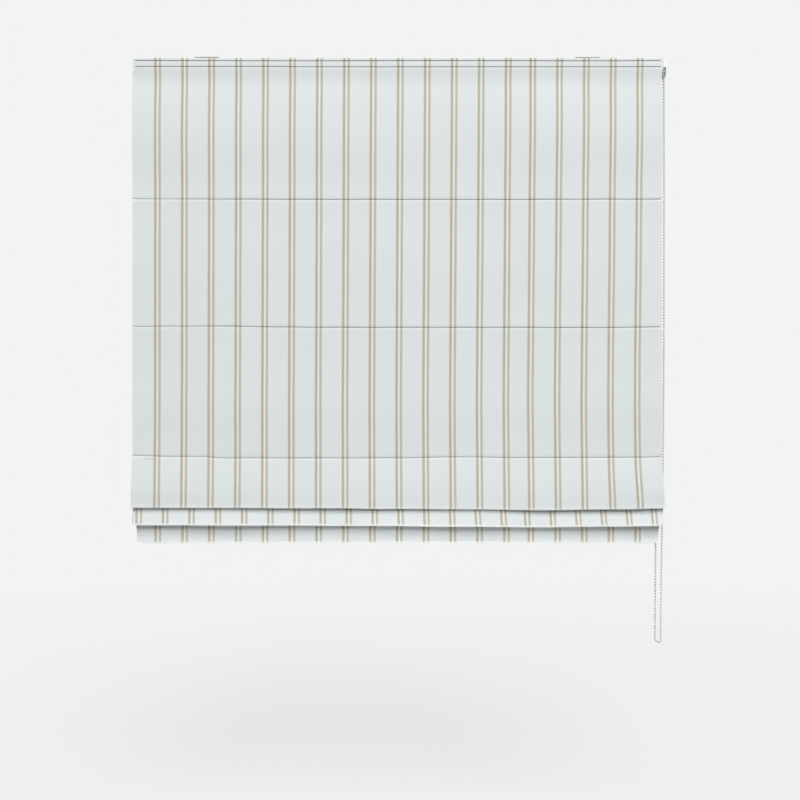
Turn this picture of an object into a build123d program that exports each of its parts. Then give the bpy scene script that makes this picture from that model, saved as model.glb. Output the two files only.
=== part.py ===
import os
from math import cos, hypot, pi, radians, sin, sqrt

from build123d import *

# Roman blind, partly raised, in millimetres. X runs along its width, the front is towards -Y and Z is up.
# The origin is midway between the two fixing holes, on the upper face of the brackets.

# Cloth
cloth_width = 1068
top_panel = 285
panel = 261
fold_drop = 104
tier_step = 35.5
face_thick = 0.9
lining_thick = 0.5
layer_gap = 0.1
side_hem = 34
hem_height = 37

# Rail and fixing
bracket_space = 6
rail_depth = 40
rail_height = 36
rail_wall = 1.5
tape_thick = 1.2
tape_width = 16
tape_top = 4

# Rods, cords and spools
rod_diameter = 4
stack_step = 12
cord_diameter = 1.4
spool_radius = 8.7
shaft_side = 5

# Chain
bead_pitch = 6
bead_diameter = 4.5
wheel_beads = 16
strand_beads = 193
loop_beads = 6
chain_beside_cloth = 7
string_diameter = 1.2

# Fits: a turning journal, a moulding pushed into the rail, a loose pass
journal_gap = 0.1
plug_gap = 0.2
loose_gap = 0.3

# Levels and planes that follow from the sizes above
half_width = cloth_width / 2
rail_top = -bracket_space
rail_floor = rail_top - rail_height
axis_z = rail_top - rail_height / 2
rail_front = -rail_depth / 2
inside_depth = rail_depth - 2 * rail_wall
inside_height = rail_height - 2 * rail_wall
cloth_top = rail_top
pitch_radius = wheel_beads * bead_pitch / (2 * pi)
chain_x = half_width + chain_beside_cloth
return_y = rail_front - 2 * tape_thick - face_thick / 2
lining_shift = face_thick / 2 + layer_gap + lining_thick / 2
hem_shift = face_thick + layer_gap
face_y = return_y - face_thick / 2 - 2 * layer_gap - lining_thick - face_thick / 2


def moved_route(points, bends, shift):
    """The same route of straight runs and rounded corners, moved to its left by shift."""
    runs = []
    for a, b in zip(points, points[1:]):
        length = hypot(b[0] - a[0], b[1] - a[1])
        runs.append(((b[0] - a[0]) / length, (b[1] - a[1]) / length))
    first, last = runs[0], runs[-1]
    moved = [(points[0][0] - shift * first[1], points[0][1] + shift * first[0])]
    rounds = []
    for p, r, u, v in zip(points[1:], bends, runs, runs[1:]):
        reach = shift / (1 + u[0] * v[0] + u[1] * v[1])
        moved.append((p[0] - reach * (u[1] + v[1]), p[1] + reach * (u[0] + v[0])))
        turn = u[0] * v[1] - u[1] * v[0]
        rounds.append(r - shift if turn > 0 else r + shift)
    moved.append((points[-1][0] - shift * last[1], points[-1][1] + shift * last[0]))
    return moved, rounds


def ribbon(points, bends, shift, thick):
    """The outline of a cloth of even thickness that follows the route, shift to its left."""
    left, left_bends = moved_route(points, bends, shift + thick / 2)
    right, right_bends = moved_route(points, bends, shift - thick / 2)
    with BuildLine() as outline:
        FilletPolyline(*left, radius=left_bends)
        FilletPolyline(*right, radius=right_bends)
        Line(left[0], right[0])
        Line(left[-1], right[-1])
    return outline.edges()


def ribbed(start, count, pitch, low, mid, high):
    """The profile of a close winding: a sleeve from low outwards with a rib for each turn."""
    points = [(start, low)]
    for i in range(count):
        x = start + i * pitch
        points += [(x, mid), (x + rib_share * pitch, high), (x + (1 - rib_share) * pitch, high)]
    return points + [(start + count * pitch, mid), (start + count * pitch, low)]


rib_share = 0.3

# Where the rods lie: three on flat panels, the lower two drawn up behind the third
pocket_play = 0.2
pocket_overlap = 0.05
rod_radius = rod_diameter / 2
pocket_in = rod_radius + pocket_play
pocket_out = pocket_in + lining_thick
rod_y = face_y + lining_shift + lining_thick / 2 + pocket_in + pocket_overlap
fourth_back = 0.8
fifth_back = 6.15
line_1 = cloth_top - top_panel
line_2 = line_1 - panel
line_3 = line_2 - panel
line_4 = line_3 - stack_step
line_5 = line_4 - stack_step
rod_4_y = rod_y + fourth_back
rod_5_y = rod_y + fifth_back
rod_points = [
    (rod_y, line_1),
    (rod_y, line_2),
    (rod_y, line_3),
    (rod_4_y, line_4),
    (rod_5_y, line_5),
]

# The cloth's route in the YZ plane, from the turned-down top edge to the turned-up hem
return_height = tape_top + tape_width + tape_top
round_share = 0.48
belly_out = 14
belly_bend = 110
front_fold = 9
second_out = 4
second_fold = 7
ridge_half = 1.4
bar_thick = 3
bar_play = 0.3
edge_z = cloth_top - face_thick / 2
fold_1_z = line_3 - fold_drop + face_thick / 2
fold_2_z = fold_1_z - tier_step
hem_z = fold_2_z - tier_step
fold_1_y = face_y - belly_out
fold_2_y = face_y - second_out
ridge_lift = lining_shift + lining_thick / 2 + pocket_in + pocket_overlap
ridge_4 = line_4 - ridge_lift
ridge_5 = line_5 - ridge_lift
hem_y = rod_5_y + ridge_half
hem_fold = bar_thick + 2 * bar_play + face_thick
top_bend = round_share * (return_y - face_y)
fold_1_bend = round_share * front_fold
fold_2_bend = round_share * second_fold
ridge_bend = round_share * 2 * ridge_half
hem_bend = round_share * hem_fold
folds = [
    (face_y, line_3),
    (fold_1_y, fold_1_z),
    (fold_1_y + front_fold, fold_1_z),
    (rod_4_y - ridge_half, ridge_4),
    (rod_4_y + ridge_half, ridge_4),
    (fold_2_y, fold_2_z),
    (fold_2_y + second_fold, fold_2_z),
    (rod_5_y - ridge_half, ridge_5),
    (rod_5_y + ridge_half, ridge_5),
]
fold_bends = [
    belly_bend,
    fold_1_bend,
    fold_1_bend,
    ridge_bend,
    ridge_bend,
    fold_2_bend,
    fold_2_bend,
    ridge_bend,
    ridge_bend,
]
top_run = [(return_y, cloth_top - return_height), (return_y, edge_z), (face_y, edge_z)]
hem_top = hem_z - face_thick / 2 + hem_height
hem_run = [(hem_y, hem_z), (hem_y + hem_fold, hem_z), (hem_y + hem_fold, hem_top)]
cloth_route = top_run + folds + hem_run
cloth_bends = [top_bend, top_bend] + fold_bends + [hem_bend, hem_bend]

# Face cloth: one ribbon with side hems turned to the back, and a groove along each row of stitches
side_top = cloth_top - return_height - layer_gap
side_end = hem_top + layer_gap
side_route = [(face_y, side_top)] + folds + [(hem_y, side_end)]
stitch_width = 0.9
stitch_depth = 0.35
stitch_end = 4
tape_stitch = 2
stitch_rows = [
    cloth_top - tape_top - tape_stitch,
    cloth_top - tape_top - tape_width + tape_stitch,
    line_1,
    line_2,
    line_3,
]
with BuildPart() as face_cloth:
    with BuildSketch(Plane.YZ.offset(-half_width)):
        make_face(ribbon(cloth_route, cloth_bends, 0, face_thick))
    extrude(amount=cloth_width)
    with BuildSketch(Plane.YZ.offset(-half_width), Plane.YZ.offset(half_width - side_hem)):
        make_face(ribbon(side_route, fold_bends, hem_shift, face_thick))
    extrude(amount=side_hem)
    with BuildSketch(Plane.YZ.offset(-half_width), Plane.YZ.offset(half_width - face_thick)):
        make_face(ribbon(side_route, fold_bends, hem_shift / 2, hem_shift))
    extrude(amount=face_thick)
    with Locations(*[(0, face_y - face_thick / 2, z) for z in stitch_rows]):
        Box(cloth_width - 2 * stitch_end, 2 * stitch_depth, stitch_width, mode=Mode.SUBTRACT)

# Lining: behind the face between the side hems, with a tube sewn in it for each rod
lining_width = cloth_width - 2 * side_hem - 2 * loose_gap
lining_top = cloth_top - face_thick - loose_gap
lining_tuck = 2
lining_end = hem_top - lining_tuck
lining_route = [(face_y, lining_top)] + folds + [(hem_y, lining_end)]
with BuildPart() as lining:
    with BuildSketch(Plane.YZ.offset(-lining_width / 2)):
        make_face(ribbon(lining_route, fold_bends, lining_shift, lining_thick))
        with Locations(*rod_points):
            Circle(pocket_out)
        with Locations(*rod_points):
            Circle(pocket_in, mode=Mode.SUBTRACT)
    extrude(amount=lining_width)

# Rods: round fibreglass, a little shorter than their tubes
rod_short = 6
rod_length = lining_width - 2 * rod_short
with BuildPart() as rod_1:
    with BuildSketch(Plane.YZ.offset(-rod_length / 2)):
        with Locations(rod_points[0]):
            Circle(rod_radius)
    extrude(amount=rod_length)
with BuildPart() as rod_2:
    with BuildSketch(Plane.YZ.offset(-rod_length / 2)):
        with Locations(rod_points[1]):
            Circle(rod_radius)
    extrude(amount=rod_length)
with BuildPart() as rod_3:
    with BuildSketch(Plane.YZ.offset(-rod_length / 2)):
        with Locations(rod_points[2]):
            Circle(rod_radius)
    extrude(amount=rod_length)
with BuildPart() as rod_4:
    with BuildSketch(Plane.YZ.offset(-rod_length / 2)):
        with Locations(rod_points[3]):
            Circle(rod_radius)
    extrude(amount=rod_length)
with BuildPart() as rod_5:
    with BuildSketch(Plane.YZ.offset(-rod_length / 2)):
        with Locations(rod_points[4]):
            Circle(rod_radius)
    extrude(amount=rod_length)

# Bottom bar: a flat strip resting in the hem
bar_height = 28
bar_short = 10
bar_length = cloth_width - 2 * bar_short
bar_z = hem_z + face_thick / 2 + hem_bend + bar_height / 2
with BuildPart() as bottom_bar:
    with Locations((0, hem_y + hem_fold / 2, bar_z)):
        Box(bar_length, bar_thick, bar_height)

# Head rail: an extrusion with an open top whose lips the bracket levers grip
slot_width = 15
spigot_radius = 3
cord_y = -spool_radius
end_flange = 2
base_flange = 3.5
chain_room = 6
base_plug = 28
rail_left = -half_width + end_flange
rail_right = half_width - chain_room
rail_length = rail_right - rail_left

# The outer spools stand clear of the control unit, and the brackets clear of the spools
drum_half = 13
flange_thick = 1.5
cradle_wall = 3
cradle_in = drum_half + flange_thick + loose_gap
cradle_half = cradle_in + cradle_wall
cradle_room = 42.2
bracket_room = 40
base_start = rail_right - base_plug
cord_x = base_start - cradle_room - cradle_half
hole_x = cord_x - bracket_room
cord_xs = [-cord_x, 0, cord_x]
with BuildPart() as headrail:
    with BuildSketch(Plane.YZ.offset(rail_left)):
        with Locations((0, axis_z)):
            Rectangle(rail_depth, rail_height)
            Rectangle(inside_depth, inside_height, mode=Mode.SUBTRACT)
        with Locations((0, rail_top)):
            Rectangle(slot_width, 3 * rail_wall, mode=Mode.SUBTRACT)
    extrude(amount=rail_length)
    with Locations(*[(x, cord_y, rail_floor) for x in cord_xs]):
        Cylinder(spigot_radius + plug_gap, 4 * rail_wall, mode=Mode.SUBTRACT)

# Hook tape on the rail and loop tape sewn to the cloth
tape_z = cloth_top - tape_top - tape_width / 2
tape_short = 3
tape_length = rail_length - 2 * tape_short
tape_x = (rail_left + rail_right) / 2
with BuildPart() as hook_tape:
    with Locations((tape_x, rail_front - tape_thick / 2, tape_z)):
        Box(tape_length, tape_thick, tape_width)
with BuildPart() as loop_tape:
    with Locations((tape_x, rail_front - 3 * tape_thick / 2, tape_z)):
        Box(tape_length, tape_thick, tape_width)

# Drive shaft: a square steel bar from the left end cap to the control unit
shaft_play = 0.05
socket_side = shaft_side + 2 * shaft_play
shaft_left = rail_left + 3
shaft_right = half_width - 1
shaft_length = shaft_right - shaft_left
with BuildPart() as drive_shaft:
    with Locations(((shaft_left + shaft_right) / 2, 0, axis_z)):
        Box(shaft_length, shaft_side, shaft_side)

# Left end cap with a bore for the shaft bush
bush_radius = 5
bush_length = 16
cap_plug = 18
plug_depth = inside_depth - 2 * plug_gap
plug_height = inside_height - 2 * plug_gap
bush_start = rail_left + 2
with BuildPart() as end_cap:
    with BuildSketch(Plane.YZ.offset(-half_width)):
        with Locations((0, axis_z)):
            RectangleRounded(rail_depth, rail_height, end_flange)
    extrude(amount=end_flange)
    with BuildSketch(Plane.YZ.offset(rail_left)):
        with Locations((0, axis_z)):
            Rectangle(plug_depth, plug_height)
    extrude(amount=cap_plug)
    with BuildSketch(Plane.YZ.offset(rail_left + end_flange / 2)):
        with Locations((0, axis_z)):
            Circle(bush_radius + journal_gap)
    extrude(amount=cap_plug, mode=Mode.SUBTRACT)
with BuildPart() as shaft_bush:
    with BuildSketch(Plane.YZ.offset(bush_start)):
        with Locations((0, axis_z)):
            Circle(bush_radius)
            Rectangle(socket_side, socket_side, mode=Mode.SUBTRACT)
    extrude(amount=bush_length)

# Spools, wound cord, cradles and lift cords: the same set at each cord
drum_radius = spool_radius - cord_diameter / 2 - loose_gap
flange_radius = 12
journal_radius = 4.5
journal_length = 5
turn_pitch = cord_diameter + layer_gap
turns = 7
first_turn = 3 * turn_pitch / 2
spool_profile = [
    (-drum_half - flange_thick - journal_length, 0),
    (-drum_half - flange_thick - journal_length, journal_radius),
    (-drum_half - flange_thick, journal_radius),
    (-drum_half - flange_thick, flange_radius),
    (-drum_half, flange_radius),
    (-drum_half, drum_radius),
    (drum_half, drum_radius),
    (drum_half, flange_radius),
    (drum_half + flange_thick, flange_radius),
    (drum_half + flange_thick, journal_radius),
    (drum_half + flange_thick + journal_length, journal_radius),
    (drum_half + flange_thick + journal_length, 0),
]
shaft_line = Axis((0, 0, axis_z), (1, 0, 0))
spool_long = 2 * (drum_half + flange_thick + journal_length)


def make_spool(x):
    with BuildPart() as spool:
        with BuildSketch(Plane(origin=(x, 0, axis_z), x_dir=(1, 0, 0), z_dir=(0, -1, 0))):
            with BuildLine():
                Polyline(*spool_profile, close=True)
            make_face()
        revolve(axis=shaft_line)
        with Locations((x, 0, axis_z)):
            Box(2 * spool_long, socket_side, socket_side, mode=Mode.SUBTRACT)
    return spool


winding_low = drum_radius + shaft_play
winding_high = drum_radius + cord_diameter
winding_mid = (winding_low + winding_high) / 2
winding = ribbed(first_turn, turns, turn_pitch, winding_low, winding_mid, winding_high)


def make_wound_cord(x):
    with BuildPart() as wound:
        with BuildSketch(Plane(origin=(x, 0, axis_z), x_dir=(1, 0, 0), z_dir=(0, -1, 0))):
            with BuildLine():
                Polyline(*winding, close=True)
            make_face()
        revolve(axis=shaft_line)
    return wound


cradle_base = 2
cradle_top = axis_z + 11
cradle_floor = rail_floor + rail_wall
spigot_out = 1
eyelet_radius = 1.3


def make_cradle(x):
    bore = journal_radius + journal_gap
    with BuildPart() as cradle:
        with BuildSketch(Plane.XY.offset(cradle_floor)):
            with Locations((x, 0)):
                Rectangle(2 * cradle_half, plug_depth)
        extrude(amount=cradle_base)
        with BuildSketch(Plane.YZ.offset(x - cradle_half), Plane.YZ.offset(x + cradle_in)):
            with Locations((0, (cradle_floor + cradle_top) / 2)):
                Rectangle(plug_depth, cradle_top - cradle_floor)
            with Locations((0, axis_z)):
                Circle(bore, mode=Mode.SUBTRACT)
            with Locations((0, (axis_z + cradle_top) / 2 + bore)):
                Rectangle(2 * bore, cradle_top - axis_z + 2 * bore, mode=Mode.SUBTRACT)
        extrude(amount=cradle_wall)
        with BuildSketch(Plane.XY.offset(rail_floor - spigot_out)):
            with Locations((x, cord_y)):
                Circle(spigot_radius)
        extrude(amount=rail_wall + spigot_out)
        with Locations((x, cord_y, cradle_floor)):
            Cylinder(eyelet_radius, 2 * rail_height, mode=Mode.SUBTRACT)
    return cradle


anchor_ring_radius = 3.3
ring_radius = 5.8
ring_wire = 0.9
orb_radius = 3.6
orb_length = 13
orb_bore = 9
orb_top = line_5 - ring_wire - layer_gap
cord_end = orb_top - orb_bore + loose_gap

orb_profile = [
    (0, -orb_length / 2),
    (orb_radius / 2, -orb_length / 2),
    (orb_radius, -orb_length / 5),
    (orb_radius, orb_length / 5),
    (orb_radius / 2, orb_length / 2),
    (0, orb_length / 2),
]


def make_lift_cord(x):
    with BuildPart() as cord:
        with BuildSketch(Plane.XY.offset(cord_end)):
            with Locations((x, cord_y)):
                Circle(cord_diameter / 2)
        extrude(amount=axis_z - cord_end)
    return cord


def make_orb(x):
    with BuildPart() as orb:
        with BuildSketch(Plane(origin=(x, cord_y, orb_top - orb_length / 2), z_dir=(0, -1, 0), x_dir=(1, 0, 0))):
            with BuildLine():
                Polyline(*orb_profile, close=True)
            make_face()
        revolve(axis=Axis((x, cord_y, 0), (0, 0, 1)))
        with BuildSketch(Plane.XY.offset(orb_top - orb_bore)):
            with Locations((x, cord_y)):
                Circle(cord_diameter / 2 + journal_gap)
        extrude(amount=2 * orb_bore, mode=Mode.SUBTRACT)
    return orb


spool_1 = make_spool(cord_xs[0])
spool_2 = make_spool(cord_xs[1])
spool_3 = make_spool(cord_xs[2])
wound_cord_1 = make_wound_cord(cord_xs[0])
wound_cord_2 = make_wound_cord(cord_xs[1])
wound_cord_3 = make_wound_cord(cord_xs[2])
cradle_1 = make_cradle(cord_xs[0])
cradle_2 = make_cradle(cord_xs[1])
cradle_3 = make_cradle(cord_xs[2])
lift_cord_1 = make_lift_cord(cord_xs[0])
lift_cord_2 = make_lift_cord(cord_xs[1])
lift_cord_3 = make_lift_cord(cord_xs[2])
cord_orb_1 = make_orb(cord_xs[0])
cord_orb_2 = make_orb(cord_xs[1])
cord_orb_3 = make_orb(cord_xs[2])

# Rings sewn to the rod tubes: wide guides on the upper four, small anchors on the lowest
guide_points = [(x, y + pocket_out + ring_radius + ring_wire, z) for x in cord_xs for y, z in rod_points[:4]]
with BuildPart() as cord_rings:
    with Locations(*guide_points):
        Cylinder(ring_radius + ring_wire, 2 * ring_wire)
    with Locations(*guide_points):
        Cylinder(ring_radius - ring_wire, 4 * ring_wire, mode=Mode.SUBTRACT)
    chamfer(cord_rings.edges().filter_by(GeomType.CIRCLE), length=ring_wire / 2)
anchor_y = rod_5_y + pocket_out + anchor_ring_radius + ring_wire
anchor_points = [(x, anchor_y, line_5) for x in cord_xs]
with BuildPart() as anchor_rings:
    with Locations(*anchor_points):
        Cylinder(anchor_ring_radius + ring_wire, 2 * ring_wire)
    with Locations(*anchor_points):
        Cylinder(anchor_ring_radius - ring_wire, 4 * ring_wire, mode=Mode.SUBTRACT)
    chamfer(anchor_rings.edges().filter_by(GeomType.CIRCLE), length=ring_wire / 2)

# Control base: plugs the right end of the rail and holds the brake spring in its bore
brake_bore = 11
neck_bore = 9.3
neck_length = 8
screw_y = 16.4
screw_z = 14
screw_radius = 1.4
screw_points = [(-screw_y, axis_z + screw_z), (screw_y, axis_z + screw_z)]
base_end = rail_right + base_flange
with BuildPart() as control_base:
    with BuildSketch(Plane.YZ.offset(base_start)):
        with Locations((0, axis_z)):
            Rectangle(plug_depth, plug_height)
    extrude(amount=base_plug)
    with BuildSketch(Plane.YZ.offset(rail_right)):
        with Locations((0, axis_z)):
            RectangleRounded(rail_depth, rail_height, base_flange)
    extrude(amount=base_flange)
    with BuildSketch(Plane.YZ.offset(base_start)):
        with Locations((0, axis_z)):
            Circle(brake_bore)
    extrude(amount=base_plug - neck_length, mode=Mode.SUBTRACT)
    with BuildSketch(Plane.YZ.offset(base_start)):
        with Locations((0, axis_z)):
            Circle(neck_bore)
        with Locations(*screw_points):
            Circle(screw_radius + shaft_play)
    extrude(amount=2 * base_plug, mode=Mode.SUBTRACT)

# Chain wheel: a pocket for each bead, and a sleeve through the base that releases the brake
wheel_half = 3.2
wheel_edge = pitch_radius + 0.6
string_slot = 1.1
slot_root = pitch_radius - 1.4
pocket_radius = bead_diameter / 2 + loose_gap
sleeve_radius = neck_bore - journal_gap
core_radius = 6
sleeve_in = core_radius + journal_gap
sleeve_start = base_start + 4
core_end = chain_x - wheel_half + 3
boss_radius = 5
boss_length = 1.5
key_from = sleeve_start + 1
key_length = 11
key_width = 4
key_gap = 8.6
wheel_axis = Plane(origin=(chain_x, 0, axis_z), x_dir=(0, 1, 0), z_dir=(1, 0, 0))
with BuildPart() as chain_wheel:
    with BuildSketch(Plane.YZ.offset(chain_x - wheel_half)):
        with Locations((0, axis_z)):
            Circle(wheel_edge)
    extrude(amount=2 * wheel_half)
    with BuildSketch(Plane.YZ.offset(chain_x - string_slot)):
        with Locations((0, axis_z)):
            Circle(2 * wheel_edge)
            Circle(slot_root, mode=Mode.SUBTRACT)
    extrude(amount=2 * string_slot, mode=Mode.SUBTRACT)
    with BuildSketch(Plane.YZ.offset(sleeve_start)):
        with Locations((0, axis_z)):
            Circle(sleeve_radius)
    extrude(amount=chain_x - sleeve_start - wheel_half)
    with BuildSketch(Plane.YZ.offset(chain_x + wheel_half)):
        with Locations((0, axis_z)):
            Circle(boss_radius)
    extrude(amount=boss_length)
    with BuildSketch(Plane.YZ.offset(sleeve_start)):
        with Locations((0, axis_z)):
            Circle(sleeve_in)
    extrude(amount=core_end - sleeve_start, mode=Mode.SUBTRACT)
    with Locations((sleeve_start + key_length / 2 + 1, 0, axis_z + sleeve_radius)):
        Box(key_length + 2, key_gap, sleeve_radius, mode=Mode.SUBTRACT)
    with Locations(wheel_axis):
        with PolarLocations(pitch_radius, wheel_beads, start_angle=180 / wheel_beads):
            Cylinder(pocket_radius, 2 * pocket_radius, rotation=(0, 90, 0), mode=Mode.SUBTRACT)

# Drive core: carries the shaft's end, with a key that the brake spring's tails straddle
core_start = sleeve_start - 3
key_reach = sleeve_radius - 0.4
with BuildPart() as drive_core:
    with BuildSketch(Plane.YZ.offset(core_start)):
        with Locations((0, axis_z)):
            Circle(core_radius)
    extrude(amount=core_end - core_start - journal_gap)
    with Locations((key_from + key_length / 2, 0, axis_z + key_reach / 2)):
        Box(key_length, key_width, key_reach)
    with BuildSketch(Plane.YZ.offset(core_start)):
        with Locations((0, axis_z)):
            Rectangle(socket_side, socket_side)
    extrude(amount=shaft_right + shaft_play - core_start, mode=Mode.SUBTRACT)

# Brake spring: coils that grip the bore of the base, with both tails turned inwards beside the key
spring_wire = 1.2
spring_radius = 10.2
spring_turns = 7
tail_angle = 21
tail_reach = 2.6
spring_start = key_from + 1
spring_end = spring_start + spring_turns * spring_wire
tail_y = sin(radians(tail_angle))
tail_z = cos(radians(tail_angle))
spring_in = spring_radius - spring_wire / 2
spring_out = spring_radius + spring_wire / 2
spring_coils = ribbed(spring_start, spring_turns, spring_wire, spring_in, spring_radius, spring_out)
tails = [(spring_start + spring_wire / 2, -tail_y), (spring_end - spring_wire / 2, tail_y)]
with BuildPart() as brake_spring:
    with BuildSketch(Plane(origin=(0, 0, axis_z), x_dir=(1, 0, 0), z_dir=(0, -1, 0))):
        with BuildLine():
            Polyline(*spring_coils, close=True)
        make_face()
    revolve(axis=shaft_line)
    for x, y in tails:
        tip = (x, y * spring_radius, axis_z + tail_z * spring_radius)
        with BuildSketch(Plane(origin=tip, z_dir=(0, -y, -tail_z))):
            Circle(spring_wire / 2)
        extrude(amount=tail_reach)

# Control cover: an arch over the wheel, open below for the chain, with its outer face closed
cover_in = pitch_radius + bead_diameter / 2 + loose_gap
cover_wall = 1.3
cover_out = cover_in + cover_wall
cover_face = chain_x + wheel_half + loose_gap
boss_post = 2.7
post_length = 8
with BuildPart() as control_cover:
    with BuildSketch(Plane.YZ.offset(base_end)):
        with Locations((0, axis_z)):
            Circle(cover_out)
            Circle(cover_in, mode=Mode.SUBTRACT)
        with Locations((0, axis_z - cover_out)):
            Rectangle(3 * cover_out, 2 * cover_out, mode=Mode.SUBTRACT)
    extrude(amount=cover_face - base_end)
    with BuildSketch(Plane.YZ.offset(base_end)):
        with Locations(*screw_points):
            Circle(boss_post)
        with Locations((0, axis_z)):
            Circle(cover_in, mode=Mode.SUBTRACT)
    extrude(amount=post_length)
    with BuildSketch(Plane.YZ.offset(cover_face)):
        with Locations((0, axis_z)):
            Circle(cover_out)
            Circle(boss_radius + journal_gap, mode=Mode.SUBTRACT)
    extrude(amount=cover_wall)
    with BuildSketch(Plane.YZ.offset(base_end)):
        with Locations(*screw_points):
            Circle(screw_radius + journal_gap)
    extrude(amount=2 * post_length, mode=Mode.SUBTRACT)

# Two screws that hold the cover to the base
head_radius = 2.3
head_height = 1.6
screw_length = 24
with BuildPart() as cover_screws:
    with BuildSketch(Plane.YZ.offset(base_end + post_length - screw_length)):
        with Locations(*screw_points):
            Circle(screw_radius)
    extrude(amount=screw_length)
    with BuildSketch(Plane.YZ.offset(base_end + post_length)):
        with Locations(*screw_points):
            Circle(head_radius)
    extrude(amount=head_height)

# Chain: over the wheel, down in front, round the bottom and up behind, hanging a little towards the cloth
loop_lean = 8.6
loop_twist = 17
loop_radius = loop_beads * bead_pitch / pi
strand_length = strand_beads * bead_pitch
loop_x = chain_x - loop_lean
turn_x = loop_radius * sin(radians(loop_twist))
turn_y = loop_radius * cos(radians(loop_twist))
strand_drop = sqrt(strand_length**2 - (loop_lean - turn_x) ** 2 - (pitch_radius - turn_y) ** 2)
loop_z = axis_z - strand_drop
front_top = Vector(chain_x, -pitch_radius, axis_z)
front_low = Vector(loop_x + turn_x, -turn_y, loop_z)
back_low = Vector(loop_x - turn_x, turn_y, loop_z)
back_top = Vector(chain_x, pitch_radius, axis_z)
loop_middle = Vector(loop_x, 0, loop_z)
loop_side = Vector(turn_y, turn_x, 0).normalized()
wheel_middle = Vector(chain_x, 0, axis_z)
with BuildPart() as chain_cord:
    with BuildSketch(Plane(origin=front_top, z_dir=front_low - front_top)):
        Circle(string_diameter / 2)
    extrude(amount=(front_low - front_top).length)
    with BuildSketch(Plane(origin=back_top, z_dir=back_low - back_top)):
        Circle(string_diameter / 2)
    extrude(amount=(back_low - back_top).length)
    with BuildSketch(Plane(origin=front_low, z_dir=(0, 0, -1))):
        Circle(string_diameter / 2)
    revolve(axis=Axis(loop_middle, loop_side), revolution_arc=180)
    with BuildSketch(Plane(origin=front_top, z_dir=(0, 0, 1))):
        Circle(string_diameter / 2)
    revolve(axis=Axis(wheel_middle, (-1, 0, 0)), revolution_arc=180)

# Beads along it, with a joiner in place of two of them on the back strand
joiner_at = 40
joiner_beads = 2
bead_sides = 5
bead_taper = 24
bead_radius = bead_diameter / 2
joiner_radius = 3.1
joiner_length = 11
bead_planes = []
for i in range(strand_beads):
    share = (i + 0.5) / strand_beads
    bead_planes.append(Plane(origin=front_top + (front_low - front_top) * share, z_dir=front_low - front_top))
    if not joiner_at <= i < joiner_at + joiner_beads:
        bead_planes.append(Plane(origin=back_top + (back_low - back_top) * share, z_dir=back_low - back_top))
for i in range(loop_beads):
    turn = pi * (i + 0.5) / loop_beads
    out = Vector(turn_x, -turn_y, 0) * cos(turn) + Vector(0, 0, -loop_radius) * sin(turn)
    along = Vector(-turn_x, turn_y, 0) * sin(turn) + Vector(0, 0, -loop_radius) * cos(turn)
    bead_planes.append(Plane(origin=loop_middle + out, z_dir=along))
for i in range(wheel_beads // 2):
    turn = 2 * pi * (i + 0.5) / wheel_beads
    out = Vector(0, -pitch_radius * cos(turn), pitch_radius * sin(turn))
    along = Vector(0, pitch_radius * sin(turn), pitch_radius * cos(turn))
    bead_planes.append(Plane(origin=wheel_middle + out, z_dir=along))
bead_flat = bead_radius * cos(pi / bead_sides)
slope_in = cos(radians(bead_taper))
slope_up = sin(radians(bead_taper))
with BuildPart() as bead:
    Box(bead_diameter, bead_diameter, bead_diameter)
    for i in range(bead_sides):
        side = Vector(cos(2 * pi * i / bead_sides), sin(2 * pi * i / bead_sides), 0)
        for up in (1, -1):
            face = Plane(origin=side * bead_flat, z_dir=side * slope_in + Vector(0, 0, up * slope_up))
            split(bisect_by=face, keep=Keep.BOTTOM)
with BuildPart() as chain_beads:
    with Locations(*bead_planes):
        add(bead.part)
joiner_share = (joiner_at + joiner_beads / 2) / strand_beads
joiner_middle = back_top + (back_low - back_top) * joiner_share
with BuildPart() as chain_joiner:
    with Locations(Plane(origin=joiner_middle, z_dir=back_low - back_top)):
        Cylinder(joiner_radius, joiner_length)
    chamfer(chain_joiner.edges().filter_by(GeomType.CIRCLE), length=joiner_radius / 3)

# Top-fix brackets: a plate, a turning lever whose foot grips under the rail's lips, and a rivet
plate_thick = 1.5
plate_depth = 26
plate_past_hole = 12
plate_past_pivot = 13
hole_radius = 2.3
pivot_inset = 24
rivet_radius = 2.4
rivet_head = 4.4
rivet_foot = 1
lever_gap = 0.25
lever_top = -plate_thick - lever_gap
lever_end = rail_top + lever_gap
hub_radius = 6.5
lever_width = 11
lever_length = 36
foot_long = 25
foot_thick = 2
foot_top = rail_top - rail_wall - journal_gap
foot_end = foot_top - foot_thick
pivot_x = hole_x - pivot_inset


def make_plate(side):
    middle = side * (hole_x + plate_past_hole + pivot_x - plate_past_pivot) / 2
    with BuildPart() as plate:
        with BuildSketch(Plane.XY.offset(-plate_thick)):
            with Locations((middle, 0)):
                RectangleRounded(pivot_inset + plate_past_hole + plate_past_pivot, plate_depth, plate_thick)
            with Locations((side * hole_x, 0)):
                Circle(hole_radius, mode=Mode.SUBTRACT)
        extrude(amount=plate_thick)
        with Locations((side * pivot_x, 0, -plate_thick / 2)):
            Cone(rivet_radius + shaft_play, rivet_head + shaft_play, plate_thick, mode=Mode.SUBTRACT)
    return plate


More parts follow.
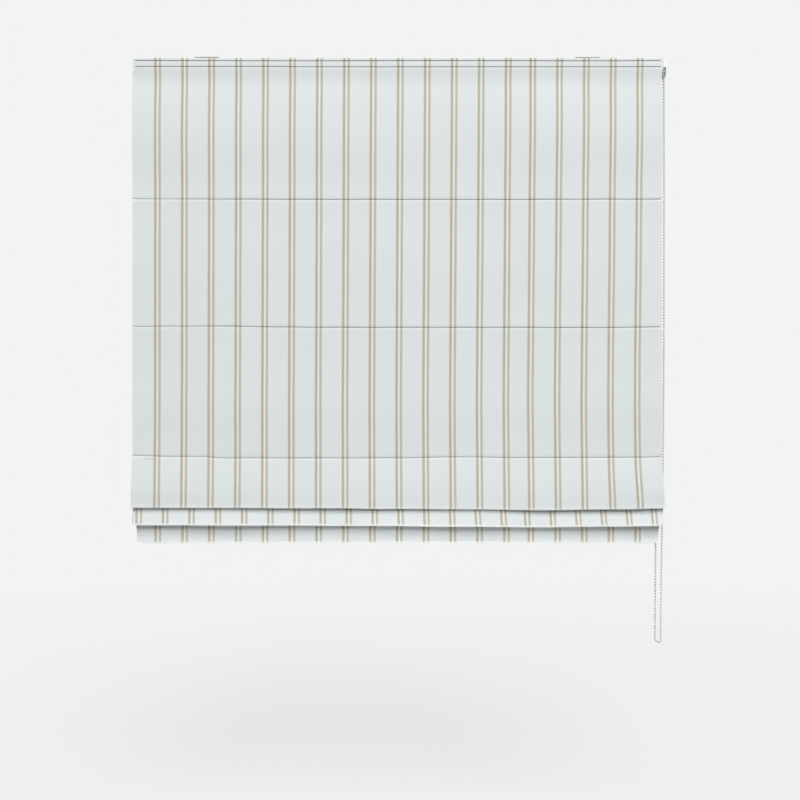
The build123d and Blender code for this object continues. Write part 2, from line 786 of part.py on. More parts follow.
def make_lever(side):
    with BuildPart() as lever:
        with BuildSketch(Plane.XY.offset(lever_end)):
            with Locations((side * pivot_x, 0)):
                Circle(plate_past_pivot - 2)
            with Locations((side * (pivot_x - lever_length / 2), 0)):
                RectangleRounded(lever_length, lever_width, lever_width / 3)
        extrude(amount=lever_top - lever_end)
        with BuildSketch(Plane.XY.offset(foot_top)):
            with Locations((side * pivot_x, 0)):
                Circle(hub_radius)
        extrude(amount=lever_end - foot_top)
        with BuildSketch(Plane.XY.offset(foot_end)):
            with Locations((side * pivot_x, 0)):
                RectangleRounded(lever_width, foot_long, lever_width / 4)
        extrude(amount=foot_thick)
        with Locations((side * pivot_x, 0, lever_end)):
            Cylinder(rivet_radius + journal_gap, rail_height, mode=Mode.SUBTRACT)
    return lever


def make_rivet(side):
    rivet_end = foot_end - journal_gap
    with BuildPart() as rivet:
        with Locations((side * pivot_x, 0, -plate_thick / 2)):
            Cone(rivet_radius, rivet_head, plate_thick)
        with BuildSketch(Plane.XY.offset(rivet_end)):
            with Locations((side * pivot_x, 0)):
                Circle(rivet_radius)
        extrude(amount=-rivet_end - plate_thick / 2)
        with BuildSketch(Plane.XY.offset(rivet_end - rivet_foot)):
            with Locations((side * pivot_x, 0)):
                Circle(rivet_head)
        extrude(amount=rivet_foot)
    return rivet


bracket_left = make_plate(-1)
bracket_right = make_plate(1)
lever_left = make_lever(-1)
lever_right = make_lever(1)
rivet_left = make_rivet(-1)
rivet_right = make_rivet(1)

pieces = {
    "face_cloth": face_cloth,
    "lining": lining,
    "rod_1": rod_1,
    "rod_2": rod_2,
    "rod_3": rod_3,
    "rod_4": rod_4,
    "rod_5": rod_5,
    "bottom_bar": bottom_bar,
    "headrail": headrail,
    "hook_tape": hook_tape,
    "loop_tape": loop_tape,
    "drive_shaft": drive_shaft,
    "end_cap": end_cap,
    "shaft_bush": shaft_bush,
    "spool_1": spool_1,
    "spool_2": spool_2,
    "spool_3": spool_3,
    "wound_cord_1": wound_cord_1,
    "wound_cord_2": wound_cord_2,
    "wound_cord_3": wound_cord_3,
    "cradle_1": cradle_1,
    "cradle_2": cradle_2,
    "cradle_3": cradle_3,
    "lift_cord_1": lift_cord_1,
    "lift_cord_2": lift_cord_2,
    "lift_cord_3": lift_cord_3,
    "cord_orb_1": cord_orb_1,
    "cord_orb_2": cord_orb_2,
    "cord_orb_3": cord_orb_3,
    "cord_rings": cord_rings,
    "anchor_rings": anchor_rings,
    "control_base": control_base,
    "chain_wheel": chain_wheel,
    "drive_core": drive_core,
    "brake_spring": brake_spring,
    "control_cover": control_cover,
    "cover_screws": cover_screws,
    "chain_cord": chain_cord,
    "chain_beads": chain_beads,
    "chain_joiner": chain_joiner,
    "bracket_left": bracket_left,
    "bracket_right": bracket_right,
    "lever_left": lever_left,
    "lever_right": lever_right,
    "rivet_left": rivet_left,
    "rivet_right": rivet_right,
}
os.makedirs("parts", exist_ok=True)
for name, piece in pieces.items():
    piece.part.label = name
    export_step(piece.part, "parts/" + name + ".step")
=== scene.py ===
import bpy
import math
import numpy as np
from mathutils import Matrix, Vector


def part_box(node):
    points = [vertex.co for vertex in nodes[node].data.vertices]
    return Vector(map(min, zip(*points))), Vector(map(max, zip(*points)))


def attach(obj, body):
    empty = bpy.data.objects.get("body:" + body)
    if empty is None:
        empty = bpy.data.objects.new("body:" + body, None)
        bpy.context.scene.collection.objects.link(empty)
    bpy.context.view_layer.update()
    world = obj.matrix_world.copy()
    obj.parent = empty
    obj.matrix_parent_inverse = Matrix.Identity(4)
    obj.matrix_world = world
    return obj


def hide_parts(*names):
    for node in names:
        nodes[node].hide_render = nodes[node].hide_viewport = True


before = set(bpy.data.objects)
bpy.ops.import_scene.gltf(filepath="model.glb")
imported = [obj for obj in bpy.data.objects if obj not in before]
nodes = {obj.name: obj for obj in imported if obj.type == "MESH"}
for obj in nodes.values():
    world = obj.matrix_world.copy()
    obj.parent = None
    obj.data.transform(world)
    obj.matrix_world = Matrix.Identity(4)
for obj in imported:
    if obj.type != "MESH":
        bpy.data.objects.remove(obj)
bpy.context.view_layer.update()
bpy.ops.object.select_all(action="DESELECT")


# Brackets and levers: pressed steel plates painted white, each with a moulded lever on a plated rivet.
# They stay as the CAD made them, and get paint, plastic and zinc finishes.
class Tone:
    """A shader value. Operators on it add Math nodes, and node() adds any other node."""

    def __init__(self, tree, socket=None):
        self.tree, self.socket = tree, socket

    def node(self, kind, settings, sockets, out=0):
        made = self.tree.nodes.new(kind)
        for name, value in settings.items():
            setattr(made, name, value)
        for name, value in sockets.items():
            if isinstance(value, Tone):
                self.tree.links.new(value.socket, made.inputs[name])
            else:
                made.inputs[name].default_value = value
        return Tone(self.tree, made.outputs[out])

    def maths(self, operation, *values):
        return self.node("ShaderNodeMath", {"operation": operation}, dict(enumerate(values)))

    def __add__(self, other):
        return self.maths("ADD", self, other)

    def __radd__(self, other):
        return self.maths("ADD", other, self)

    def __sub__(self, other):
        return self.maths("SUBTRACT", self, other)

    def __rsub__(self, other):
        return self.maths("SUBTRACT", other, self)

    def __mul__(self, other):
        return self.maths("MULTIPLY", self, other)

    def __rmul__(self, other):
        return self.maths("MULTIPLY", other, self)

    def __truediv__(self, other):
        return self.maths("DIVIDE", self, other)

    def __mod__(self, other):
        return self.maths("MODULO", self, other)

    def __abs__(self):
        return self.maths("ABSOLUTE", self)

    def larger(self, other):
        return self.maths("MAXIMUM", self, other)

    def wave(self):
        return self.maths("SINE", self * (2 * math.pi))

    def parts(self):
        return [self.node("ShaderNodeSeparateXYZ", {}, {0: self}, out=i) for i in range(3)]

    def step(self, low, high):
        return self.node(
            "ShaderNodeMapRange",
            {"interpolation_type": "SMOOTHSTEP"},
            {"Value": self, "From Min": low, "From Max": high},
        )

    def blend(self, first, second):
        return self.node(
            "ShaderNodeMix",
            {"data_type": "RGBA"},
            {0: self, 6: first, 7: second},
            out=2,
        )

    def noise(self, scale, detail=2.0):
        return self.node("ShaderNodeTexNoise", {}, {"Vector": self, "Scale": scale, "Detail": detail})

    def stretch(self, x, y, z):
        return self.node("ShaderNodeMapping", {}, {"Vector": self, "Scale": (x, y, z)})

    def bump(self, strength, distance):
        return self.node("ShaderNodeBump", {}, {"Height": self, "Strength": strength, "Distance": distance})


def srgb(r, g, b):
    levels = [c / 255 for c in (r, g, b)]
    return tuple(c / 12.92 if c <= 0.04045 else ((c + 0.055) / 1.055) ** 2.4 for c in levels) + (1.0,)


def finish(name, **fixed):
    """A new material, its Principled shader with these sockets set, and a Tone to build with."""
    made = bpy.data.materials.new(name)
    made.use_nodes = True
    tree = made.node_tree
    shader = tree.nodes["Principled BSDF"]
    for socket, value in fixed.items():
        shader.inputs[socket.replace("_", " ")].default_value = value
    return made, shader, Tone(tree)


def feed(shader, socket, tone):
    tone.tree.links.new(tone.socket, shader.inputs[socket])


def object_place(tone):
    return tone.node("ShaderNodeTexCoord", {}, {}, out="Object")


DRIFT, ROUGH_SPREAD, PEEL, PEEL_DEPTH = 14.0, 0.14, 0.12, 0.0002


def moulded(name, colour, shade, rough, grain):
    """Moulded plastic or paint: a slow drift of tone and a fine orange-peel grain."""
    made, shader, tone = finish(name)
    place = object_place(tone)
    drift = place.noise(DRIFT, 3.0)
    feed(shader, "Base Color", drift.blend(shade, colour))
    feed(shader, "Roughness", drift * ROUGH_SPREAD + (rough - ROUGH_SPREAD / 2))
    feed(shader, "Normal", place.noise(grain).bump(PEEL, PEEL_DEPTH))
    return made


LINE_SPREAD, LINE_BUMP, LINE_DEPTH = 0.2, 0.08, 0.0001


def brushed(name, colour, shade, rough, along):
    """Drawn or plated metal with fine lines along one axis."""
    made, shader, tone = finish(name, Metallic=1.0)
    lines = object_place(tone).stretch(*along).noise(1.0, 4.0)
    feed(shader, "Base Color", lines.blend(shade, colour))
    feed(shader, "Roughness", lines * LINE_SPREAD + (rough - LINE_SPREAD / 2))
    feed(shader, "Normal", lines.bump(LINE_BUMP, LINE_DEPTH))
    return made


def dress(made, *names):
    for name in names:
        nodes[name].data.materials.clear()
        nodes[name].data.materials.append(made)


bracket_paint = moulded("bracket_paint", srgb(204, 204, 202), srgb(194, 194, 191), 0.38, 900.0)
white_moulding = moulded("white_moulding", srgb(206, 206, 204), srgb(197, 197, 194), 0.42, 1500.0)
zinc = brushed("zinc_plate", srgb(200, 202, 205), srgb(170, 172, 176), 0.34, (300.0, 300.0, 900.0))
dress(bracket_paint, "bracket_left", "bracket_right")
dress(white_moulding, "lever_left", "lever_right")
dress(zinc, "rivet_left", "rivet_right")


# Head rail: an aluminium extrusion with a white powder coat, closed by two moulded ends.
# The hook tape is glued to its front, and the loop tape is sewn to the cloth that hangs from it.
rail_coat = moulded("rail_powder_coat", srgb(212, 212, 210), srgb(203, 203, 200), 0.36, 2200.0)
dress(rail_coat, "headrail")
dress(white_moulding, "end_cap", "control_base", "control_cover")
TUFTS, TUFT_DEPTH = 1600.0, 0.0006


def pile(name, colour, shade):
    """Hook and loop tape: a short dense pile."""
    made, shader, tone = finish(name, Roughness=0.95, Specular_IOR_Level=0.1)
    tufts = object_place(tone).noise(TUFTS, 4.0)
    feed(shader, "Base Color", tufts.blend(shade, colour))
    feed(shader, "Normal", tufts.bump(0.6, TUFT_DEPTH))
    return made


tape_pile = pile("tape_pile", srgb(240, 240, 236), srgb(214, 214, 208))
dress(tape_pile, "hook_tape", "loop_tape")


# Drive: a square plated shaft through three moulded spools in cradles, wound with braided cord.
# The chain wheel turns it through a core that a wrap spring holds still when the chain is let go.
dress(
    brushed("drawn_shaft", srgb(196, 198, 202), srgb(160, 163, 168), 0.3, (20.0, 900.0, 900.0)),
    "drive_shaft",
)
dress(zinc, "brake_spring", "cover_screws")
dress(white_moulding, "cradle_1", "cradle_2", "cradle_3", "shaft_bush")
dress(
    moulded("spool_moulding", srgb(228, 229, 228), srgb(216, 217, 216), 0.34, 1200.0),
    "spool_1",
    "spool_2",
    "spool_3",
    "drive_core",
    "chain_wheel",
)
BRAID_SLOPE, BRAID_DEPTH = 0.7, 0.0002


def braid(name, colour, shade, pitch):
    """Braided cord: diagonal strands crossing each other round the cord."""
    made, shader, tone = finish(name, Roughness=0.85, Specular_IOR_Level=0.2)
    place = object_place(tone)
    x, y, z = place.parts()
    rise = ((z + x * BRAID_SLOPE + y * BRAID_SLOPE) / pitch).wave()
    fall = ((z - x * BRAID_SLOPE - y * BRAID_SLOPE) / pitch).wave()
    strands = rise * fall * 0.5 + 0.5
    feed(shader, "Base Color", strands.blend(shade, colour))
    feed(shader, "Normal", strands.bump(0.5, BRAID_DEPTH))
    return made


cord_braid = braid("cord_braid", srgb(243, 243, 240), srgb(208, 208, 203), 0.0011)
dress(cord_braid, "wound_cord_1", "wound_cord_2", "wound_cord_3", "lift_cord_1", "lift_cord_2", "lift_cord_3")


# Face cloth: woven pale grey cotton with pairs of taupe stripes in the warp, hung from its top edge.
# It is pinched along each row of stitches, folds twice over the drawn-up rods, and turns up in a hem.
MM = 0.001
HALF_WIDTH = 534.0
FACE_Y, RETURN_Y, TOP_Z = -24.45, -22.85, -6.0
TAPE_LINES = (-12.0, -24.0)
ROD_LINES = (-291.0, -552.0, -813.0)
FOLD_1_Z, FOLD_2_Z, HEM_Z = -916.55, -952.05, -987.55
RIDGE_4, RIDGE_5 = (-20.35, -828.3), (-15.0, -840.3)
HEM_Y, HEM_FOLD, HEM_TURN = -13.6, 4.5, 36.55
FACE_THICK, LINING_THICK = 0.9, 0.5
RETURN_DROP, TOP_BEND, RIDGE_HALF, RIDGE_BEND, HEM_BEND = 24.0, 0.77, 1.4, 1.34, 2.16
FOLD_1_OUT, FOLD_1_BENDS = (12.4, 5.0), (2.9, 3.6)
FOLD_2_OUT, FOLD_2_BENDS = (4.0, -3.0), (3.0, 3.4)
route = [
    ((RETURN_Y, TOP_Z - RETURN_DROP), 0.0),
    ((RETURN_Y, TOP_Z - FACE_THICK / 2), TOP_BEND),
    ((FACE_Y, TOP_Z - FACE_THICK / 2), TOP_BEND),
    ((FACE_Y, ROD_LINES[2]), 0.0),
    ((FACE_Y - FOLD_1_OUT[0], FOLD_1_Z), FOLD_1_BENDS[0]),
    ((FACE_Y - FOLD_1_OUT[1], FOLD_1_Z), FOLD_1_BENDS[1]),
    ((RIDGE_4[0] - RIDGE_HALF, RIDGE_4[1]), RIDGE_BEND),
    ((RIDGE_4[0] + RIDGE_HALF, RIDGE_4[1]), RIDGE_BEND),
    ((FACE_Y - FOLD_2_OUT[0], FOLD_2_Z), FOLD_2_BENDS[0]),
    ((FACE_Y - FOLD_2_OUT[1], FOLD_2_Z), FOLD_2_BENDS[1]),
    ((RIDGE_5[0] - RIDGE_HALF, RIDGE_5[1]), RIDGE_BEND),
    ((RIDGE_5[0] + RIDGE_HALF, RIDGE_5[1]), RIDGE_BEND),
    ((HEM_Y, HEM_Z), HEM_BEND),
    ((HEM_Y + HEM_FOLD, HEM_Z), HEM_BEND),
    ((HEM_Y + HEM_FOLD, HEM_Z + HEM_TURN), 0.0),
]
HEAD, LAST_SEAM, FOLD_1, RIDGE_A, FOLD_2, RIDGE_B, HEM = 2, 3, (4, 5), (6, 7), (8, 9), (10, 11), (12, 13)
ARC_STEP = 0.3


def round_off(corners):
    """The route's corners as short arcs: the points, and how far down the cloth each corner is."""
    spots, owners = [], []
    for i, (corner, radius) in enumerate(corners):
        here = np.array(corner)
        if radius == 0.0:
            spots.append(here)
            owners.append(i)
            continue
        back = np.array(corners[i - 1][0]) - here
        ahead = np.array(corners[i + 1][0]) - here
        back, ahead = back / np.linalg.norm(back), ahead / np.linalg.norm(ahead)
        turn = math.pi - math.acos(float(np.clip(back @ ahead, -1, 1)))
        reach = radius * math.tan(turn / 2)
        middle = here + (back + ahead) / np.linalg.norm(back + ahead) * radius / math.cos(turn / 2)
        start, end = here + back * reach - middle, here + ahead * reach - middle
        steps = max(3, math.ceil(turn / ARC_STEP))
        for t in np.linspace(0, 1, steps + 1):
            arc = math.sin((1 - t) * turn) * start + math.sin(t * turn) * end
            spots.append(middle + arc / math.sin(turn))
            owners.append(i)
    spots, owners = np.array(spots), np.array(owners)
    length = np.concatenate([[0.0], np.cumsum(np.linalg.norm(np.diff(spots, axis=0), axis=1))])
    return spots, length, [float(length[owners == i].mean()) for i in range(len(corners))]


spots, spot_length, corner_at = round_off(route)
head_at, last_seam_at = corner_at[HEAD], corner_at[LAST_SEAM]
lip_1_at, lip_1_back_at = (corner_at[i] for i in FOLD_1)
lip_2_at, hem_lip_at = corner_at[FOLD_2[0]], corner_at[HEM[0]]
fold_1_at, ridge_4_at, fold_2_at, ridge_5_at, hem_at = (
    (corner_at[a] + corner_at[b]) / 2 for a, b in (FOLD_1, RIDGE_A, FOLD_2, RIDGE_B, HEM)
)
lips = (lip_1_at, lip_2_at, hem_lip_at)
line_at = {z: last_seam_at - (z - ROD_LINES[2]) for z in TAPE_LINES + ROD_LINES}
PINCH, LIP_ROWS = (0.0, 0.45, 0.95, 1.6, 2.5, 4.0, 6.5, 9.5), np.arange(4.0, 28.0, 2.0)
ROW_STEP, ROW_CLEAR, SAME = 9.5, 1.0, 1e-6
pinched = [at + side * off for at in line_at.values() for off in PINCH for side in (-1, 1)]
pinched = np.array(pinched + [lip - off for lip in lips for off in LIP_ROWS])
plain = [
    np.linspace(a, b, math.ceil((b - a) / ROW_STEP), endpoint=False)
    for a, b in zip(spot_length, spot_length[1:])
    if b - a > SAME
]
plain = np.append(np.concatenate(plain), spot_length[-1])
plain = plain[np.abs(plain[:, None] - pinched[None]).min(1) > ROW_CLEAR]
row_length = np.unique(np.round(np.concatenate([plain, pinched]), 4))
rows = np.stack([np.interp(row_length, spot_length, spots[:, i]) for i in range(2)], 1)
ahead = np.gradient(rows, row_length, axis=0)
ahead /= np.linalg.norm(ahead, axis=1)[:, None]
across = np.stack([-ahead[:, 1], ahead[:, 0]], 1)


def near(distance, reach):
    return np.exp(-((distance / reach) ** 2))


def ease(value, low, high):
    t = np.clip((value - low) / (high - low), 0, 1)
    return t * t * (3 - 2 * t)


SEAM_RISE = {
    ROD_LINES[0]: ((-530, -400, -130, 90, 200, 460, 530), (-1.1, -1.4, -2.0, -2.2, -2.3, -1.6, -1.6)),
    ROD_LINES[1]: (
        (-530, -456, -347, -240, -150, 250, 400, 470, 530),
        (1.9, 2.2, 2.8, 1.1, 0.4, 0.3, -0.3, 0.5, 1.2),
    ),
    ROD_LINES[2]: (
        (-530, -456, -400, -347, -100, 40, 100, 140, 230, 460, 530),
        (1.6, 0.1, -0.4, -2.9, -3.1, -2.5, -0.9, -0.6, -2.2, -1.7, -0.9),
    ),
    TAPE_LINES[0]: ((-530, -295, 90, 465, 530), (-0.2, -0.8, -0.1, -0.7, -0.2)),
    TAPE_LINES[1]: ((-530, -295, -130, 90, 300, 530), (-0.1, 0.2, -0.8, -0.9, -0.7, -0.4)),
}
FOLD_X = (-520, -465, -295, -130, 0, 90, 300, 465, 520)
SAG_1 = (0.8, 0.4, 0.4, 0.2, -1.4, -1.8, -3.6, -1.8, -0.8)
SAG_2 = (1.0, 0.8, 0.6, 0.2, -0.6, -1.6, -3.0, -1.4, -0.8)


def soft(x, at, values):
    """Values along the width, eased from each to the next."""
    i = np.clip(np.searchsorted(at, x) - 1, 0, len(at) - 2)
    at, values = np.array(at, float), np.array(values, float)
    return values[i] + (values[i + 1] - values[i]) * ease(x, at[i], at[i + 1])


def waves(x, terms):
    """Slow waves along the width: each term is an amount, a length and a phase."""
    return sum(amount * np.sin(x / length + phase) for amount, length, phase in terms)


SEAM_REACH, SEAM_FREE, FRONT_TOP = 12.0, 45.0, 9.0
SEAM_DEEP = dict.fromkeys(TAPE_LINES, 0.3) | dict.fromkeys(ROD_LINES, 0.42)
SEAM_PUFF = dict.fromkeys(TAPE_LINES, 0.25) | dict.fromkeys(ROD_LINES, 1.0)
GROOVE, PUFF_FROM, PUFF_TO, PUFF = 0.85, 2.6, 20.0, 0.5
SWELLS = ((-165.0, 70.0, 3.0), (-430.0, 60.0, 1.0), (-712.0, 45.0, 1.5))
RIPPLE, HOLLOW_Z, HOLLOW_REACH, HOLLOW, HOLLOW_EDGE = 0.6, -54.0, 24.0, 1.8, (25, 42)
BULGE, BULGE_POWER, BULGE_WAVES = 1.2, 1.4, ((0.7, 73.0, 1.0),)
ROLL, ROLL_WAVES, ROLL_IN, ROLL_OUT = 4.4, ((0.6, 87.0, 0.3),), (34.0, 3.0), (2.0, 6.0)
TIER_HOLLOW, TIER_HOLLOW_RIGHT, TIER_HOLLOW_UP, TIER_HOLLOW_REACH = 2.2, 1.0, 27.0, 11.0
LIP_1, LIP_1_REACH, LIP_2, LIP_3, LIP_REACH = 0.6, 4.5, 1.9, 1.5, 8.0
LIP_WAVES = ((0.25, 67.0, 0.9), (0.2, 29.0, 2.2))
HEM_DROP, HEM_REACH, FOLD_REACH = 1.4, 40.0, 60.0
SAG_1_WAVES, SAG_2_WAVES = ((0.2, 27.0, 0.4),), ((0.2, 31.0, 2.6),)
FOLD_1_WAVES = ((0.7, 83.0, 0.4), (0.3, 31.0, 1.7))
FOLD_2_WAVES = ((0.6, 71.0, 2.7), (0.3, 37.0, 0.7))


def seam_pull(x, length, on_front):
    """At each row of stitches: back and up, and how free the cloth is between the rows."""
    free, back, up = np.ones_like(length), np.zeros_like(length), np.zeros_like(length)
    for line, at in line_at.items():
        gap = length - at
        up += np.where(on_front, soft(x, *SEAM_RISE[line]) * near(gap, SEAM_REACH), 0.0)
        puff = SEAM_PUFF[line] * (PUFF + waves(x, ((0.2, 19.0, line), (0.15, 7.7, 2 * line))))
        pucker = puff * (1 - near(gap, PUFF_FROM)) * near(gap, PUFF_TO)
        back += np.where(on_front, SEAM_DEEP[line] * near(gap, GROOVE) - pucker, 0.0)
        free *= 1 - near(gap, SEAM_FREE)
    return back, up, free


def drape(x, z, length):
    """How the hanging cloth departs from its plain folds: back and up, at each point."""
    on_front = (length > line_at[TAPE_LINES[0]] - FRONT_TOP) & (length < fold_1_at)
    back, up, free = seam_pull(x, length, on_front)
    ripple = waves(x, ((1.0, 61.0, 0.6 + z / 190.0), (0.7, 37.0, 2.1 - z / 120.0)))
    swell = sum(amount * near(z - at, reach) for at, reach, amount in SWELLS)
    swell = swell * (1 + waves(x, ((0.2, 130.0, z / 80.0),)))
    hollow = HOLLOW * near(z - HOLLOW_Z, HOLLOW_REACH) * ease(-z, *HOLLOW_EDGE)
    hung = on_front & (length < last_seam_at)
    back += np.where(hung, RIPPLE * free * ripple - swell * free + hollow, 0.0)
    share = np.clip((length - last_seam_at) / (lip_1_at - last_seam_at), 0, 1)
    back -= np.sin(math.pi * share) ** BULGE_POWER * (BULGE + waves(x, BULGE_WAVES))
    rolled = ease(length, lip_1_at - ROLL_IN[0], lip_1_at - ROLL_IN[1])
    rolled = rolled * (1 - ease(length, lip_1_at + ROLL_OUT[0], lip_1_back_at + ROLL_OUT[1]))
    back += rolled * (ROLL + waves(x, ROLL_WAVES))
    hollow = TIER_HOLLOW + TIER_HOLLOW_RIGHT * ease(x, 330.0, 480.0)
    back += near(length - lip_2_at + TIER_HOLLOW_UP, TIER_HOLLOW_REACH) * hollow
    back -= LIP_1 * near(length - lip_1_at, LIP_1_REACH)
    lower_lips = LIP_2 * near(length - lip_2_at, LIP_REACH) + LIP_3 * near(length - hem_lip_at, LIP_REACH)
    back -= (1 + waves(x, LIP_WAVES)) * lower_lips
    up -= HEM_DROP * near(length - hem_at, HEM_REACH)
    edge_1, edge_2 = near(length - fold_1_at, FOLD_REACH), near(length - fold_2_at, FOLD_REACH)
    up += edge_1 * (soft(x, FOLD_X, SAG_1) + waves(x, SAG_1_WAVES))
    up += edge_2 * (soft(x, FOLD_X, SAG_2) + waves(x, SAG_2_WAVES))
    back += edge_1 * waves(x, FOLD_1_WAVES) + edge_2 * waves(x, FOLD_2_WAVES)
    return back, up


HEM_INSET, HEM_RISE, INSET_TOP, INSET_FADE = ((4.5, 6.5), (1.6, 5.2)), 32.0, 150.0, 60.0
EDGE_BAND, CORNER_R, CORNER_SHARE, FOLD_2_FLAT, HEM_FLAT = 26.0, 8.0, 0.8, 3.0, 2.0
FLARE_LEFT, FLARE_RIGHT, FLARE_2 = 1.6, 4.3, 3.2
LEAN, LEAN_END, LEAN_FROM = (4.5, 1.2, 0.0), 14.0, 495.0


def corner_inset(rise):
    """How far a tier's rounded lower corner draws in, this far above its edge."""
    low = np.clip(CORNER_R - rise, 0, CORNER_R)
    return CORNER_SHARE * (CORNER_R - np.sqrt(CORNER_R**2 - low**2))


def draw_in(x, length):
    """Across: the right edge leans out at the head, the folds flare, and the tiers draw in at their ends."""
    side = np.where(x < 0, -1, 1)
    edge = np.clip((np.abs(x) - (HALF_WIDTH - EDGE_BAND)) / EDGE_BAND, 0, 1)
    rise_2 = np.maximum(np.abs(length - fold_2_at) - FOLD_2_FLAT, 0.0)
    rise_3 = np.maximum(np.abs(length - hem_at) - HEM_FLAT, 0.0)
    tier_2 = (length > ridge_4_at) & (length < ridge_5_at)
    inset = np.where(tier_2, corner_inset(rise_2), 0.0)
    low = np.clip(1 - rise_3 / HEM_RISE, 0, 1)
    drawn = np.where(side < 0, *(top + (foot - top) * low for top, foot in HEM_INSET))
    drawn = drawn * np.clip((INSET_TOP - rise_3) / INSET_FADE, 0, 1) + corner_inset(rise_3)
    inset += np.where(length > ridge_5_at, drawn, 0.0)
    front_1 = ease(length, last_seam_at, lip_1_at) * (1 - ease(length, fold_1_at + 5.0, fold_1_at + 45.0))
    front_2 = ease(length, ridge_4_at + 30.0, fold_2_at - 30.0)
    front_2 = front_2 * (1 - ease(length, fold_2_at + 4.0, fold_2_at + 40.0))
    flare = front_1 * (FLARE_RIGHT * ease(x, 370.0, 510.0) - FLARE_LEFT * ease(-x, 495.0, HALF_WIDTH))
    flare += FLARE_2 * front_2 * ease(x, 440.0, HALF_WIDTH)
    head_end = line_at[TAPE_LINES[1]]
    lean = np.interp(length, (head_end, head_end + LEAN_END, last_seam_at), LEAN)
    return x - side * edge * inset + flare + lean * ease(x, LEAN_FROM, HALF_WIDTH)


def place_cloth(x, row, lift):
    """Where the cloth is at x across and this row down, lifted off its middle towards the lining."""
    length = row_length[row]
    back, up = drape(x, rows[row, 1], length)
    y, z = rows[row, 0] + lift * across[row, 0] + back, rows[row, 1] + lift * across[row, 1] + up
    return np.stack([draw_in(x, length), y, z], -1)


VIEW_MM, PIXEL_MM, CLOTH_PLANE = 2200.0, 2.0216, 24.9
MIDDLE_X, MIDDLE_PX, TOP_PX = 5.8, 399.4, 57.5
FIRST_PX = ((57, 240, 405, 457, 510), (155.0, 154.8, 154.6, 154.3, 153.7))
LAST_PX = ((57, 110, 240, 405, 457, 510), (637.4, 637.0, 635.9, 634.2, 635.0, 636.0))
HEM_FIRST_PX, HEM_LAST_PX, EVEN_PX, SPAN_PX = 155.1, 634.9, 155.0, 482.0
PAIR_PX, NARROW_PX, RIGHT_COUNT, RIGHT_PX, RIGHT_PAIR_PX = 26.94, 517.6, 14, 529.8, 26.78
LEFT_END, RIGHT_END = (148, 15, 0.05), (648, 14, 0.06)
TIER_SLANT = ((140, 200, 330, 480, 655), (-0.03, 0.0, 0.0, 0.06, 0.11))
TIER_PX, TIER_FIRST_PX, TIER_NARROW_PX, TIER_NARROW = 519.0, 136.0, 513, 2.0
TIER_PAIR_PX, TIER_GROW = 26.5, 0.06


def stripe_count(x, row):
    """How many stripe pairs lie to the left of here, as the cloth shows them at each height."""
    z, length = rows[row, 1], row_length[row]
    y = rows[row, 0] + np.where(length > last_seam_at, drape(x, z, length)[0], 0.0)
    nearer = VIEW_MM / (VIEW_MM + y + CLOTH_PLANE)
    seen, drawn = (MIDDLE_PX + (at - MIDDLE_X) / PIXEL_MM * nearer for at in (x, draw_in(x, length)))
    drop = TOP_PX - (z - TOP_Z) / PIXEL_MM
    hem = length > ridge_5_at
    first = np.where(hem, HEM_FIRST_PX, np.interp(drop, *FIRST_PX))
    last = np.where(hem, HEM_LAST_PX, np.interp(drop, *LAST_PX))
    even = EVEN_PX + (seen - first) / (last - first) * SPAN_PX
    right = RIGHT_COUNT + (even - RIGHT_PX) / RIGHT_PAIR_PX
    front = np.where(even < NARROW_PX, (even - EVEN_PX) / PAIR_PX, right)
    left_end = LEFT_END[2] * np.clip((LEFT_END[0] - seen) / LEFT_END[1], 0, 2)
    right_end = RIGHT_END[2] * np.clip((seen - RIGHT_END[0]) / RIGHT_END[1], 0, 2)
    front += np.where(hem, 0.0, left_end - right_end)
    joined = drawn - np.interp(drawn, *TIER_SLANT) * (drop - TIER_PX)
    joined = joined + np.where(drawn > TIER_NARROW_PX, TIER_NARROW, 0.0) - TIER_FIRST_PX
    inside = np.maximum(TIER_PAIR_PX**2 - 2 * TIER_GROW * joined, 0.0)
    gathered = (TIER_PAIR_PX - np.sqrt(inside)) / TIER_GROW
    return np.where((length > ridge_4_at) & (length < ridge_5_at), gathered, front)


def cloth_grid(name, columns, row_ids, positions, counts):
    """A grid of cloth with its stripe count and length as the UV map."""
    bpy.ops.mesh.primitive_grid_add(x_subdivisions=len(columns) - 1, y_subdivisions=len(row_ids) - 1, size=1)
    piece = bpy.context.object
    piece.name = piece.data.name = name
    piece.data.vertices.foreach_set("co", (positions * MM).reshape(-1))
    downs = np.repeat(row_length[row_ids] * MM, len(columns)).reshape(counts.shape)
    chart = np.stack([counts, downs], -1).reshape(-1, 2)
    loops = np.zeros(len(piece.data.loops), np.int32)
    piece.data.loops.foreach_get("vertex_index", loops)
    piece.data.uv_layers[0].name = "cloth"
    piece.data.uv_layers[0].data.foreach_set("uv", chart[loops].reshape(-1))
    return piece


EDGE_STEPS = np.array((0.0, 0.6, 1.6, 3.2, 5.4, 8.0, 12.0, 17.0, 24.0))
INNER_FROM, INNER_COLUMNS = 33.0, 104
inner = np.linspace(-HALF_WIDTH + INNER_FROM, HALF_WIDTH - INNER_FROM, INNER_COLUMNS)
columns = np.concatenate([EDGE_STEPS - HALF_WIDTH, inner, HALF_WIDTH - EDGE_STEPS[::-1]])
all_rows = np.arange(len(rows))
xx, rr = np.meshgrid(columns, all_rows)
face = cloth_grid("striped_cloth", columns, all_rows, place_cloth(xx, rr, 0.0), stripe_count(xx, rr))


def row_below(start, z):
    """The first row after this length that is lower than z."""
    return int(np.argmax((row_length > start) & (rows[:, 1] < z)))


